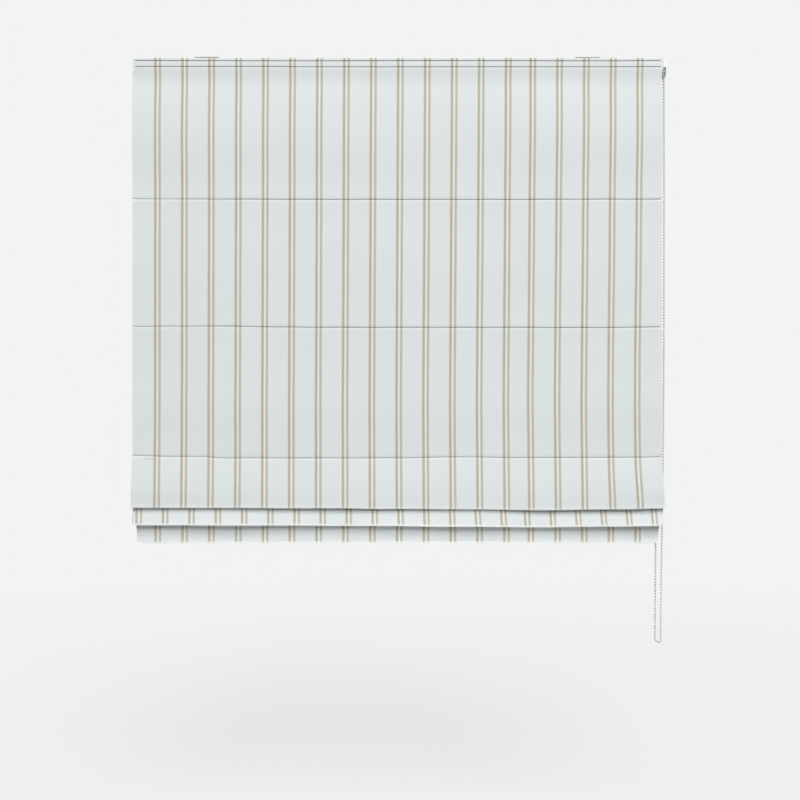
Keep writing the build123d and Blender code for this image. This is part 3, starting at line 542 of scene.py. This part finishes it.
SIDE_HEM, EDGE_SHIFT, EDGE_BULGE, EDGE_ROUND, HEAD_DEPTH, TURN_STEPS = 34.0, 0.12, 0.5, 1.6, 25.0, 5
first_row = row_below(head_at, TOP_Z - HEAD_DEPTH)
side_rows = np.arange(first_row, row_below(ridge_5_at, HEM_Z + HEM_TURN + 1.0))
turn = np.linspace(0, math.pi, TURN_STEPS)
hem_lift = FACE_THICK + 0.1
strip_x = HALF_WIDTH - np.linspace(3.0, SIDE_HEM, TURN_STEPS)
strip_x = np.concatenate([HALF_WIDTH + EDGE_BULGE * np.sin(turn), strip_x])
strip_lift = np.concatenate([hem_lift / 2 * (1 - np.cos(turn)), np.full(TURN_STEPS, hem_lift)])
strip_out = np.linspace(4.5, SIDE_HEM + EDGE_ROUND, TURN_STEPS)
strip_out = HALF_WIDTH + np.concatenate([np.linspace(0, EDGE_ROUND, TURN_STEPS), strip_out])
strips = []
for side, name in ((-1, "side_hem_left"), (1, "side_hem_right")):
    sx, sr = np.meshgrid(strip_x, side_rows)
    lifts, outs = np.broadcast_to(strip_lift, sx.shape), np.broadcast_to(strip_out, sx.shape)
    turned = place_cloth(side * sx, sr, lifts)
    counts = stripe_count(side * outs, sr) - side * EDGE_SHIFT
    if side < 0:
        turned, counts = turned[:, ::-1], counts[:, ::-1]
    strips.append(cloth_grid(name, strip_x, side_rows, turned, counts))

bpy.ops.object.select_all(action="DESELECT")
for piece in strips + [face]:
    piece.select_set(True)
bpy.context.view_layer.objects.active = face
bpy.ops.object.join()
bpy.ops.object.mode_set(mode="EDIT")
bpy.ops.mesh.select_all(action="SELECT")
bpy.ops.mesh.remove_doubles(threshold=0.00002)
bpy.ops.object.mode_set(mode="OBJECT")


def thicken(piece, thick):
    bpy.ops.object.select_all(action="DESELECT")
    piece.select_set(True)
    bpy.context.view_layer.objects.active = piece
    shell = piece.modifiers.new("thickness", "SOLIDIFY")
    shell.thickness, shell.offset = thick * MM, 0.0
    bpy.ops.object.modifier_apply(modifier="thickness")
    bpy.ops.object.shade_smooth_by_angle(angle=math.radians(50))


thicken(face, FACE_THICK)

GROUND, GROUND_SHADE = srgb(227, 232, 231), srgb(212, 218, 218)
TAUPE, TAUPE_SHADE = srgb(188, 181, 161), srgb(178, 170, 149)
GREY_TAUPE, CREAM = srgb(186, 184, 171), srgb(226, 230, 227)
# The next line holds the dark grey painted into the cloth along each seam as shade, and the near-white
# painted onto the folds' lower edges as a highlight.
SEAM_PAINTED_SHADE, PAINTED_RIM_LIGHT = srgb(74, 76, 72), srgb(250, 252, 252)
PITCH, YARN, PICK, WEAVE_DEPTH = 0.0543, 0.00062, 0.0007, 0.0005
SLUB, WARP_SLUB, WOBBLE, STRIPE_SHIFT = (30.0, 900.0, 1.0), (90.0, 14.0, 1.0), 0.012, 100.294
FIRST_LINE, SECOND_LINE = (0.3, 0.048, 0.014), (0.4636, 0.047, 0.016)
PALE_YARNS, EDGE_YARNS = (0.382, 0.035, 0.02), (0.537, 0.026, 0.02)
cloth_weave, shader, tone = finish(
    "striped_weave", Roughness=0.92, Specular_IOR_Level=0.18, Sheen_Weight=0.08
)
chart = tone.node("ShaderNodeUVMap", {"uv_map": "cloth"}, {})
count, down, _ = chart.parts()
slub = chart.stretch(*SLUB).noise(1.0, 3.0)
warp_slub = chart.stretch(*WARP_SLUB).noise(1.0, 2.0)
phase = (count + warp_slub * WOBBLE + STRIPE_SHIFT) % 1.0


def stripe(middle, half, blur):
    """One inside a line of the stripe pair, nothing outside it."""
    return 1 - abs(phase - middle).step(half - blur, half + blur)


first_line, second_line = stripe(*FIRST_LINE), stripe(*SECOND_LINE)
pale_yarns = stripe(*PALE_YARNS).larger(stripe(*EDGE_YARNS) * 0.4)
colour = pale_yarns.blend(slub.blend(GROUND_SHADE, GROUND), CREAM)
colour = (first_line * 0.95).blend(colour, warp_slub.blend(TAUPE_SHADE, TAUPE))
colour = (second_line * 0.92).blend(colour, GREY_TAUPE)
STITCH, GAP, THREAD = 2.7, 2.17, 0.48
FIRST_STITCH, LAST_STITCH = 4.5 - HALF_WIDTH, HALF_WIDTH - 4.0
# Painted shade along each row of stitches: how strongly each line darkens the cloth's colour, and how wide
# the band is.
SEAM_SHADE_STRENGTH = dict(zip(TAPE_LINES + ROD_LINES, (1.0, 1.0, 0.75, 0.75, 0.36)))
SEAM_SHADE_BAND, ROW_MIDDLE, ROW_END = (0.0005, 0.0013), 0.0015, (0.529, 0.532)
FAINT, FAINT_LEFT = 0.4, (-0.46, -0.33)
# Band and strength of the painted highlight on the lower edge of the first fold, the second fold and the hem.
RIM_HIGHLIGHT_BAND, RIM_HIGHLIGHT_SHARES = (0.0012, 0.0045), (0.2, 0.75, 0.6)
sideways, _, _ = object_place(tone).parts()
seam_shade_dots = ((sideways - FIRST_STITCH * MM) / ((STITCH + GAP) * MM) + 0.25).wave() * 0.15 + 0.85
seam_shade_dots = seam_shade_dots * (1 - abs(sideways - ROW_MIDDLE).step(*ROW_END))
# Painted shade: the cloth's colour darkens to dark grey in a narrow band at each seam, dotted in step with
# the stitches, faded at the ends and at the rods' left ends, standing in for the pinched crease's shadow.
painted_seam_shade = None
for z, at in line_at.items():
    close = (1 - abs(down - at * MM).step(*SEAM_SHADE_BAND)) * SEAM_SHADE_STRENGTH[z]
    if z in ROD_LINES:
        close = close * (sideways.step(*FAINT_LEFT) * (1 - FAINT) + FAINT)
    painted_seam_shade = close if painted_seam_shade is None else painted_seam_shade.larger(close)
colour = (painted_seam_shade * seam_shade_dots).blend(colour, SEAM_PAINTED_SHADE)
# Painted highlight: the cloth's colour is lightened towards near white in a narrow band along the lower edge
# of each fold and of the hem, most on the second fold, standing in for light caught on the turned edges.
painted_rim_highlight = None
for lip, pale in zip(lips, RIM_HIGHLIGHT_SHARES):
    close = (1 - abs(down - lip * MM).step(*RIM_HIGHLIGHT_BAND)) * pale
    painted_rim_highlight = close if painted_rim_highlight is None else painted_rim_highlight.larger(close)
feed(shader, "Base Color", painted_rim_highlight.blend(colour, PAINTED_RIM_LIGHT))
warp, weft = (count * (PITCH / YARN)).wave(), (down * (1 / PICK)).wave()
feed(shader, "Normal", (warp * weft * 0.5 + slub * 0.9 + warp_slub * 0.5).bump(0.5, WEAVE_DEPTH))
face.data.materials.append(cloth_weave)
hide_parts("face_cloth")
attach(face, "blind")


# Stitches: rows of dark grey machine thread through the face, along the tape and each rod's tube.
# Each stitch is a short capsule pressed a little into the cloth, with a short second row at the lower left.
SECOND_ROW, SECOND_ROW_DOWN = (-509.0, -492.0), 5.4
TWIST, TWIST_DEPTH = (2600.0, 600.0, 600.0), 0.0002
bpy.ops.mesh.primitive_cylinder_add(vertices=6, radius=THREAD, depth=STITCH, rotation=(0, math.pi / 2, 0))
stitch = bpy.context.object
bpy.ops.object.transform_apply(location=False, rotation=True, scale=False)
bpy.ops.object.mode_set(mode="EDIT")
bpy.ops.mesh.select_all(action="SELECT")
bpy.ops.mesh.bevel(offset=THREAD * 0.6, segments=1)
bpy.ops.object.mode_set(mode="OBJECT")
shape = np.array([v.co for v in stitch.data.vertices])
sides = [list(p.vertices) for p in stitch.data.polygons]
bpy.data.objects.remove(stitch)


def sew(name, spots_on, made):
    """One piece holding a stitch at each of these places."""
    mesh = bpy.data.meshes.new(name)
    mesh.from_pydata(
        ((spots_on[:, None] + shape[None]) * MM).reshape(-1, 3).tolist(),
        [],
        [[v + k * len(shape) for v in side] for k in range(len(spots_on)) for side in sides],
    )
    piece = bpy.data.objects.new(name, mesh)
    bpy.context.collection.objects.link(piece)
    piece.data.materials.append(made)
    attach(piece, "blind")
    return piece


def along_row(low, high, at, lift):
    """Stitch places across the cloth at this length, from one side to the other."""
    row = int(np.searchsorted(row_length, at))
    share = (at - row_length[row - 1]) / (row_length[row] - row_length[row - 1])
    xs = np.arange(low, high, STITCH + GAP)
    before, after = (place_cloth(xs, np.full(len(xs), r), lift) for r in (row - 1, row))
    return before + share * (after - before)


thread, shader, tone = finish("grey_thread", Roughness=0.8, Specular_IOR_Level=0.2)
twist = object_place(tone).stretch(*TWIST).noise(1.0, 2.0)
feed(shader, "Base Color", twist.blend(srgb(52, 52, 49), srgb(80, 80, 76)))
feed(shader, "Normal", twist.bump(0.4, TWIST_DEPTH))
SUNK = 0.05 - FACE_THICK / 2
sewn = [along_row(FIRST_STITCH, LAST_STITCH, at, SUNK) for at in line_at.values()]
sewn.append(along_row(*SECOND_ROW, last_seam_at + SECOND_ROW_DOWN, SUNK))
stitches = sew("stitches", np.concatenate(sewn), thread)


# Lining: plain cotton sateen behind the face, between the side hems, following its folds.
# A tube for each rod is sewn along it, and pale thread shows beside the tubes and along the hem's top.
LINING_HALF, LINING_LIFT, LINING_WALL, LINING_COLUMNS = 499.7, 0.8, 0.8 * LINING_THICK, 72
TUBE_R, TUBE_CUTS, TUBE_SLACK = 2.45, 60, 0.09
CRUMPLE, SATEEN = (16.0, 16.0, 9.0), (2600.0, 2600.0, 1500.0)
TUBE_SEAM, RIDGE_SEAM, HEM_SEAM, LINING_END, HEM_END, THREAD_OUT = 3.6, 5.2, 2.0, 3.0, 12.0, 0.2
RODS = ((-21.15, -291.0), (-21.15, -552.0), (-21.15, -813.0), (-20.35, -825.0), (-15.0, -837.0))
lining_rows = np.arange(first_row, row_below(ridge_5_at, HEM_Z + HEM_TURN - 1.0))
lining_columns = np.linspace(-LINING_HALF, LINING_HALF, LINING_COLUMNS)
xx, rr = np.meshgrid(lining_columns, lining_rows)
hung_lining = place_cloth(xx, rr, LINING_LIFT)
lining = cloth_grid("lining_cloth", lining_columns, lining_rows, hung_lining, xx * MM / PITCH)
thicken(lining, LINING_WALL)
tubes = []
for number, (y, z) in enumerate(RODS, 1):
    bpy.ops.mesh.primitive_cylinder_add(
        vertices=20,
        radius=TUBE_R * MM,
        depth=2 * LINING_HALF * MM,
        end_fill_type="NOTHING",
        location=(0, y * MM, z * MM),
        rotation=(0, math.pi / 2, 0),
    )
    tube = bpy.context.object
    tube.name = "rod_tube_%d" % number
    bpy.ops.object.transform_apply(location=True, rotation=True, scale=True)
    bpy.ops.object.mode_set(mode="EDIT")
    for cut in np.linspace(-LINING_HALF, LINING_HALF, TUBE_CUTS)[1:-1]:
        bpy.ops.mesh.select_all(action="SELECT")
        bpy.ops.mesh.bisect(plane_co=(cut * MM, 0, 0), plane_no=(1, 0, 0))
    bpy.ops.object.mode_set(mode="OBJECT")
    for v in tube.data.vertices:
        x = v.co.x / MM
        pucker = waves(x, ((0.22, 5.3, number), (0.16, 13.7, 2 * number)))
        out = math.hypot(v.co.y / MM - y, v.co.z / MM - z)
        behind = max(0.0, (v.co.y / MM - y) / out)
        grow = 1 + TUBE_SLACK * behind * (0.5 + pucker)
        v.co.y = (y + (v.co.y / MM - y) * grow) * MM
        v.co.z = (z + (v.co.z / MM - z) * grow) * MM
    thicken(tube, LINING_WALL)
    tubes.append(tube)
sateen, shader, tone = finish("lining_sateen", Roughness=0.8, Specular_IOR_Level=0.25, Sheen_Weight=0.06)
place = object_place(tone)
crumple = place.stretch(*CRUMPLE).noise(1.0, 4.0)
fine = place.stretch(*SATEEN).noise(1.0, 2.0)
feed(shader, "Base Color", (crumple * 0.6 + fine * 0.4).blend(srgb(226, 224, 216), srgb(240, 239, 233)))
feed(shader, "Normal", (crumple * 3.0 + fine * 0.3).bump(0.3, 0.001))
pale_thread = braid("pale_thread", srgb(214, 212, 203), srgb(178, 176, 166), 0.0008)
back_at = [line_at[z] - TUBE_SEAM for z in ROD_LINES] + [ridge_5_at + RIDGE_SEAM]
row_end = LINING_HALF - LINING_END
back_rows = [along_row(-row_end, row_end, at, LINING_LIFT + THREAD_OUT) for at in back_at]
hem_top, row_end = float(row_length[-1]) - HEM_SEAM, HALF_WIDTH - HEM_END
back_rows.append(along_row(-row_end, row_end, hem_top, -SUNK))
back_stitches = sew("back_stitches", np.concatenate(back_rows), pale_thread)
for piece in [lining] + tubes:
    piece.data.materials.append(sateen)
    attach(piece, "blind")
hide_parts("lining")


# Rods and bottom bar: pulled fibreglass rods in the tubes, and a flat aluminium bar in the hem.
# Only their ends show.
dress(
    moulded("fibreglass", srgb(226, 226, 214), srgb(210, 210, 196), 0.4, 500.0),
    "rod_1",
    "rod_2",
    "rod_3",
    "rod_4",
    "rod_5",
)
dress(
    brushed("mill_aluminium", srgb(212, 214, 216), srgb(186, 189, 192), 0.36, (8.0, 700.0, 700.0)),
    "bottom_bar",
)


# Rings and orbs: glossy moulded rings, each tied to a tube with three turns of thread, guide a lift cord.
# Below the lowest, the cord's knot sits in an egg-shaped orb.
gloss_white = moulded("gloss_white", srgb(245, 245, 243), srgb(238, 238, 236), 0.24, 700.0)
CORD_XS, CORD_Y, WIRE, WIRE_FLAT = (-440.0, 0.0, 440.0), -8.7, 0.9, 0.86


def ring_group(name, node, radius, spots):
    rings = []
    for spot in spots:
        bpy.ops.mesh.primitive_torus_add(
            major_radius=radius * MM,
            minor_radius=WIRE * MM,
            major_segments=28,
            minor_segments=10,
            location=[c * MM for c in spot],
        )
        bpy.ops.object.transform_apply(location=True, rotation=True, scale=True)
        bpy.ops.object.mode_set(mode="EDIT")
        bpy.ops.mesh.select_all(action="SELECT")
        bpy.ops.transform.resize(value=(1.0, 1.0, WIRE_FLAT), center_override=[c * MM for c in spot])
        bpy.ops.object.mode_set(mode="OBJECT")
        bpy.ops.object.shade_smooth()
        rings.append(bpy.context.object)
    bpy.ops.object.select_all(action="DESELECT")
    for ring in rings:
        ring.select_set(True)
    bpy.context.view_layer.objects.active = rings[0]
    bpy.ops.object.join()
    group = bpy.context.object
    group.name = name
    group.data.materials.append(gloss_white)
    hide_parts(node)
    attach(group, "blind")
    return group


TUBE_BACK, GUIDE_R, ANCHOR_R = 2.7, 5.8, 3.3
ring_group(
    "guide_rings",
    "cord_rings",
    GUIDE_R,
    [(x, y + TUBE_BACK + GUIDE_R + WIRE, z) for x in CORD_XS for y, z in RODS[:4]],
)
ring_group(
    "anchor_rings_round",
    "anchor_rings",
    ANCHOR_R,
    [(x, RODS[4][0] + TUBE_BACK + ANCHOR_R + WIRE, RODS[4][1]) for x in CORD_XS],
)
TIE_R, TIE_THREAD, TIE_TURNS, TIE_DEEP = 1.15, 0.26, (-0.6, 0.0, 0.6), 1.35
turns = []
for x in CORD_XS:
    for y, z in RODS:
        for off in TIE_TURNS:
            wire = [c * MM for c in (x + off, y + TUBE_BACK + WIRE, z)]
            bpy.ops.mesh.primitive_torus_add(
                major_radius=TIE_R * MM,
                minor_radius=TIE_THREAD * MM,
                major_segments=12,
                minor_segments=6,
                location=wire,
                rotation=(0, math.pi / 2, 0),
            )
            bpy.ops.object.transform_apply(location=True, rotation=True, scale=True)
            bpy.ops.object.mode_set(mode="EDIT")
            bpy.ops.mesh.select_all(action="SELECT")
            seat = (wire[0], wire[1] + (TIE_R + TIE_THREAD) * MM, wire[2])
            bpy.ops.transform.resize(value=(1.0, TIE_DEEP, 1.0), center_override=seat)
            bpy.ops.object.mode_set(mode="OBJECT")
            bpy.ops.object.shade_smooth()
            turns.append(bpy.context.object)
bpy.ops.object.select_all(action="DESELECT")
for turn in turns:
    turn.select_set(True)
bpy.context.view_layer.objects.active = turns[0]
bpy.ops.object.join()
ties = bpy.context.object
ties.name = "ring_ties"
ties.data.materials.append(pale_thread)
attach(ties, "blind")
ORB_R, ORB_HALF, ORB_Z, ORB_EGG, ORB_FLAT, ORB_FIT = 3.6, 6.4, -844.5, 0.1, 0.9, 0.93
for number, x in enumerate(CORD_XS, 1):
    bpy.ops.mesh.primitive_uv_sphere_add(segments=24, ring_count=16, radius=1.0)
    orb = bpy.context.object
    orb.name = "orb_%d" % number
    for v in orb.data.vertices:
        wide = ORB_R * (1 + ORB_EGG * v.co.z) * ORB_FIT
        flat = max(-ORB_FLAT, min(ORB_FLAT, v.co.z)) / ORB_FLAT
        v.co = [c * MM for c in (x + v.co.x * wide, CORD_Y + v.co.y * wide, ORB_Z + ORB_HALF * flat)]
    bpy.ops.object.shade_smooth()
    orb.data.materials.append(gloss_white)
    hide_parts("cord_orb_%d" % number)
    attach(orb, "blind")


# Chain: light grey beads moulded on a thin string, over the wheel and down in one loop.
# The string is one smooth line, and the beads sit along it every six millimetres.
WHEEL_X, WHEEL_R, AXIS_Z = 541.0, 15.279, -24.0
LOW_Z, LOOP_R = -1181.98, 11.459
LOOP_FRONT, LOOP_BACK = (535.75, -10.958), (529.05, 10.958)
STRING_R, HALF_WHEEL = 0.6, 8
chain_route = [
    (WHEEL_X, -WHEEL_R, AXIS_Z),
    (WHEEL_X + 0.4, -WHEEL_R, AXIS_Z - 9.0),
    (542.2, -14.2, -360.0),
    (541.4, -13.0, -760.0),
    (536.6, -11.2, -1090.0),
    (*LOOP_FRONT, LOW_Z),
    (*LOOP_FRONT, LOW_Z - LOOP_R),
    (*LOOP_BACK, LOW_Z - LOOP_R),
    (*LOOP_BACK, LOW_Z),
    (WHEEL_X - 0.1, WHEEL_R - 0.03, AXIS_Z - 9.0),
    (WHEEL_X, WHEEL_R, AXIS_Z),
]
line = bpy.data.curves.new("chain_string", "CURVE")
line.dimensions = "3D"
spline = line.splines.new("NURBS")
spline.points.add(len(chain_route) - 1)
for point, spot in zip(spline.points, chain_route):
    point.co = [c * MM for c in spot] + [1.0]
spline.order_u = 3
spline.use_endpoint_u = True
line.resolution_u = 24
string = bpy.data.objects.new("chain_string", line)
bpy.context.collection.objects.link(string)
bpy.context.view_layer.update()
thread_line = bpy.data.meshes.new_from_object(string)
path = np.array([v.co for v in thread_line.vertices])
line.bevel_depth = STRING_R * MM
line.bevel_resolution = 2
along = np.concatenate([[0.0], np.cumsum(np.linalg.norm(np.diff(path, axis=0), axis=1))])
chain_length = float(along[-1])
BEAD_PITCH, BEAD_R, BEAD_OVAL = 0.006, 0.00225, 1.04
bpy.ops.mesh.primitive_uv_sphere_add(segments=10, ring_count=7, radius=BEAD_R)
ball = bpy.context.object
bpy.ops.object.mode_set(mode="EDIT")
bpy.ops.mesh.select_all(action="SELECT")
bpy.ops.transform.resize(value=(1.0, 1.0, BEAD_OVAL), center_override=(0, 0, 0))
bpy.ops.object.mode_set(mode="OBJECT")
shape = np.array([v.co for v in ball.data.vertices])
sides = [list(p.vertices) for p in ball.data.polygons]
bpy.data.objects.remove(ball)


def bead_row(name, spots):
    made = bpy.data.meshes.new(name)
    ids = [[v + k * len(shape) for v in side] for k in range(len(spots)) for side in sides]
    made.from_pydata(np.concatenate([shape + s for s in spots]).tolist(), [], ids)
    made.polygons.foreach_set("use_smooth", [True] * len(made.polygons))
    piece = bpy.data.objects.new(name, made)
    bpy.context.collection.objects.link(piece)
    piece.data.materials.append(bead_moulding)
    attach(piece, "blind")
    return piece


bead_moulding = moulded("bead_moulding", srgb(188, 189, 187), srgb(178, 179, 176), 0.4, 900.0)
string_braid = braid("grey_string", srgb(206, 206, 202), srgb(184, 184, 180), 0.0009)
count_free = int(chain_length / BEAD_PITCH)
stations = (np.arange(count_free) + 0.5) * chain_length / count_free
joiner_low, joiner_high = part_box("chain_joiner")
places = np.stack([np.interp(stations, along, path[:, i]) for i in range(3)], 1)
clear = (
    (places[:, 2] < joiner_low.z - BEAD_R * 0.5)
    | (places[:, 2] > joiner_high.z + BEAD_R * 0.5)
    | (places[:, 1] < 0)
)
hanging_beads = bead_row("hanging_beads", list(places[clear]))
angles = (np.arange(HALF_WHEEL) + 0.5) * math.pi / HALF_WHEEL
wheel_spots = [
    np.array((WHEEL_X, -WHEEL_R * math.cos(a), AXIS_Z + WHEEL_R * math.sin(a))) * MM for a in angles
]
wheel_beads = bead_row("wheel_beads", wheel_spots)
bpy.ops.mesh.primitive_torus_add(
    major_radius=WHEEL_R * MM,
    minor_radius=STRING_R * MM,
    major_segments=48,
    minor_segments=8,
    location=(WHEEL_X * MM, 0, AXIS_Z * MM),
    rotation=(0, math.pi / 2, 0),
)
wheel_string = bpy.context.object
wheel_string.name = "wheel_string"
bpy.ops.object.transform_apply(location=True, rotation=True, scale=True)
bpy.ops.object.mode_set(mode="EDIT")
bpy.ops.mesh.select_all(action="SELECT")
bpy.ops.mesh.bisect(
    plane_co=(0, 0, AXIS_Z * MM), plane_no=(0, 0, 1), clear_inner=True, use_fill=True
)
bpy.ops.object.mode_set(mode="OBJECT")
bpy.ops.object.shade_smooth_by_angle(angle=math.radians(40))
for piece in (string, wheel_string):
    piece.data.materials.append(string_braid)
    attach(piece, "blind")
dress(bead_moulding, "chain_joiner")
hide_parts("chain_cord")
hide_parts("chain_beads")


# Studio: a pale floor well below that fades into the pale room, a broad soft key from above the front,
# a low strip under the hem, a soft lamp behind and a faint one at each side.
# The camera stands square to the cloth.
PALE = srgb(243, 243, 243)
FLOOR_LIT, FLOOR_SEEN = srgb(120, 120, 120), srgb(188, 188, 188)
FLOOR_Z, FLOOR_SIZE, FADE, NEAR_GLOW = -1.62, 16.0, (1.7, 4.0), 0.7
bpy.ops.mesh.primitive_plane_add(size=FLOOR_SIZE, location=(0, 0, FLOOR_Z))
floor = bpy.context.object
floor.name = "studio_floor"
bpy.ops.object.transform_apply(location=True, rotation=True, scale=True)


def seen_rays(tone):
    """One for what the camera, a gloss or a see-through surface looks at, nothing for lighting."""
    kinds = ("Is Camera Ray", "Is Glossy Ray", "Is Transmission Ray")
    first, second, third = (tone.node("ShaderNodeLightPath", {}, {}, out=kind) for kind in kinds)
    return first.larger(second).larger(third)


floor_paint = bpy.data.materials.new("studio_pale")
floor_paint.use_nodes = True
tree = floor_paint.node_tree
tree.nodes.clear()
tone = Tone(tree)
away = tone.node("ShaderNodeVectorMath", {"operation": "LENGTH"}, {0: object_place(tone)}, out="Value")
seen = seen_rays(tone)
share = seen * (away.step(*FADE) * (1 - NEAR_GLOW) + NEAR_GLOW)
glow = tone.node("ShaderNodeEmission", {}, {"Color": PALE, "Strength": 1.0})
matt = tone.node("ShaderNodeBsdfDiffuse", {}, {"Color": seen.blend(FLOOR_LIT, FLOOR_SEEN)})
both = tone.node("ShaderNodeMixShader", {}, {0: share, 1: matt, 2: glow})
tree.links.new(both.socket, tree.nodes.new("ShaderNodeOutputMaterial").inputs["Surface"])
floor.data.materials.append(floor_paint)

AMBIENT = 0.08
world = bpy.data.worlds.new("studio")
bpy.context.scene.world = world
world.use_nodes = True
tree = world.node_tree
tree.nodes.clear()
tone = Tone(tree)
level = seen_rays(tone) * (1 - AMBIENT) + AMBIENT
air = tone.node("ShaderNodeBackground", {}, {"Color": PALE, "Strength": level})
tree.links.new(air.socket, tree.nodes.new("ShaderNodeOutputWorld").inputs["Surface"])


def softbox(name, place, aim, size, power):
    lamp = bpy.data.lights.new(name, "AREA")
    lamp.shape, lamp.size, lamp.size_y, lamp.energy = "RECTANGLE", size[0], size[1], power
    box = bpy.data.objects.new(name, lamp)
    bpy.context.collection.objects.link(box)
    box.location = place
    away = np.array(place) - np.array(aim)
    box.rotation_euler = (math.atan2(math.hypot(away[0], away[1]), away[2]), 0, math.atan2(away[0], -away[1]))
    box.visible_camera = False


softbox("key", (1.6, -8.4, 7.6), (0.1, 0, -0.6), (6.0, 8.6), 1980.0)
softbox("under_hem", (0.0, -0.08, -1.5), (0.0, -0.05, -0.9), (1.3, 0.1), 4.5)
softbox("behind", (-0.9, 3.4, 2.4), (0, 0, -0.5), (2.0, 1.4), 190.0)
softbox("left_side", (-3.2, 0.35, 0.6), (0, 0.1, -0.5), (1.2, 1.6), 24.0)
softbox("right_side", (3.2, 0.35, 0.6), (0, 0.1, -0.5), (1.2, 1.6), 24.0)

SENSOR, FRAME_PX, MIDDLE_Z = 36.0, 800.0, -698.4
camera = bpy.data.cameras.new("camera")
camera.sensor_width = SENSOR
camera.lens = SENSOR * VIEW_MM / PIXEL_MM / FRAME_PX
viewer = bpy.data.objects.new("camera", camera)
bpy.context.collection.objects.link(viewer)
viewer.location = (MIDDLE_X * MM, -(VIEW_MM + CLOTH_PLANE) * MM, MIDDLE_Z * MM)
viewer.rotation_euler = (math.pi / 2, 0, 0)
bpy.context.scene.camera = viewer
bpy.context.scene.view_settings.view_transform = "Standard"
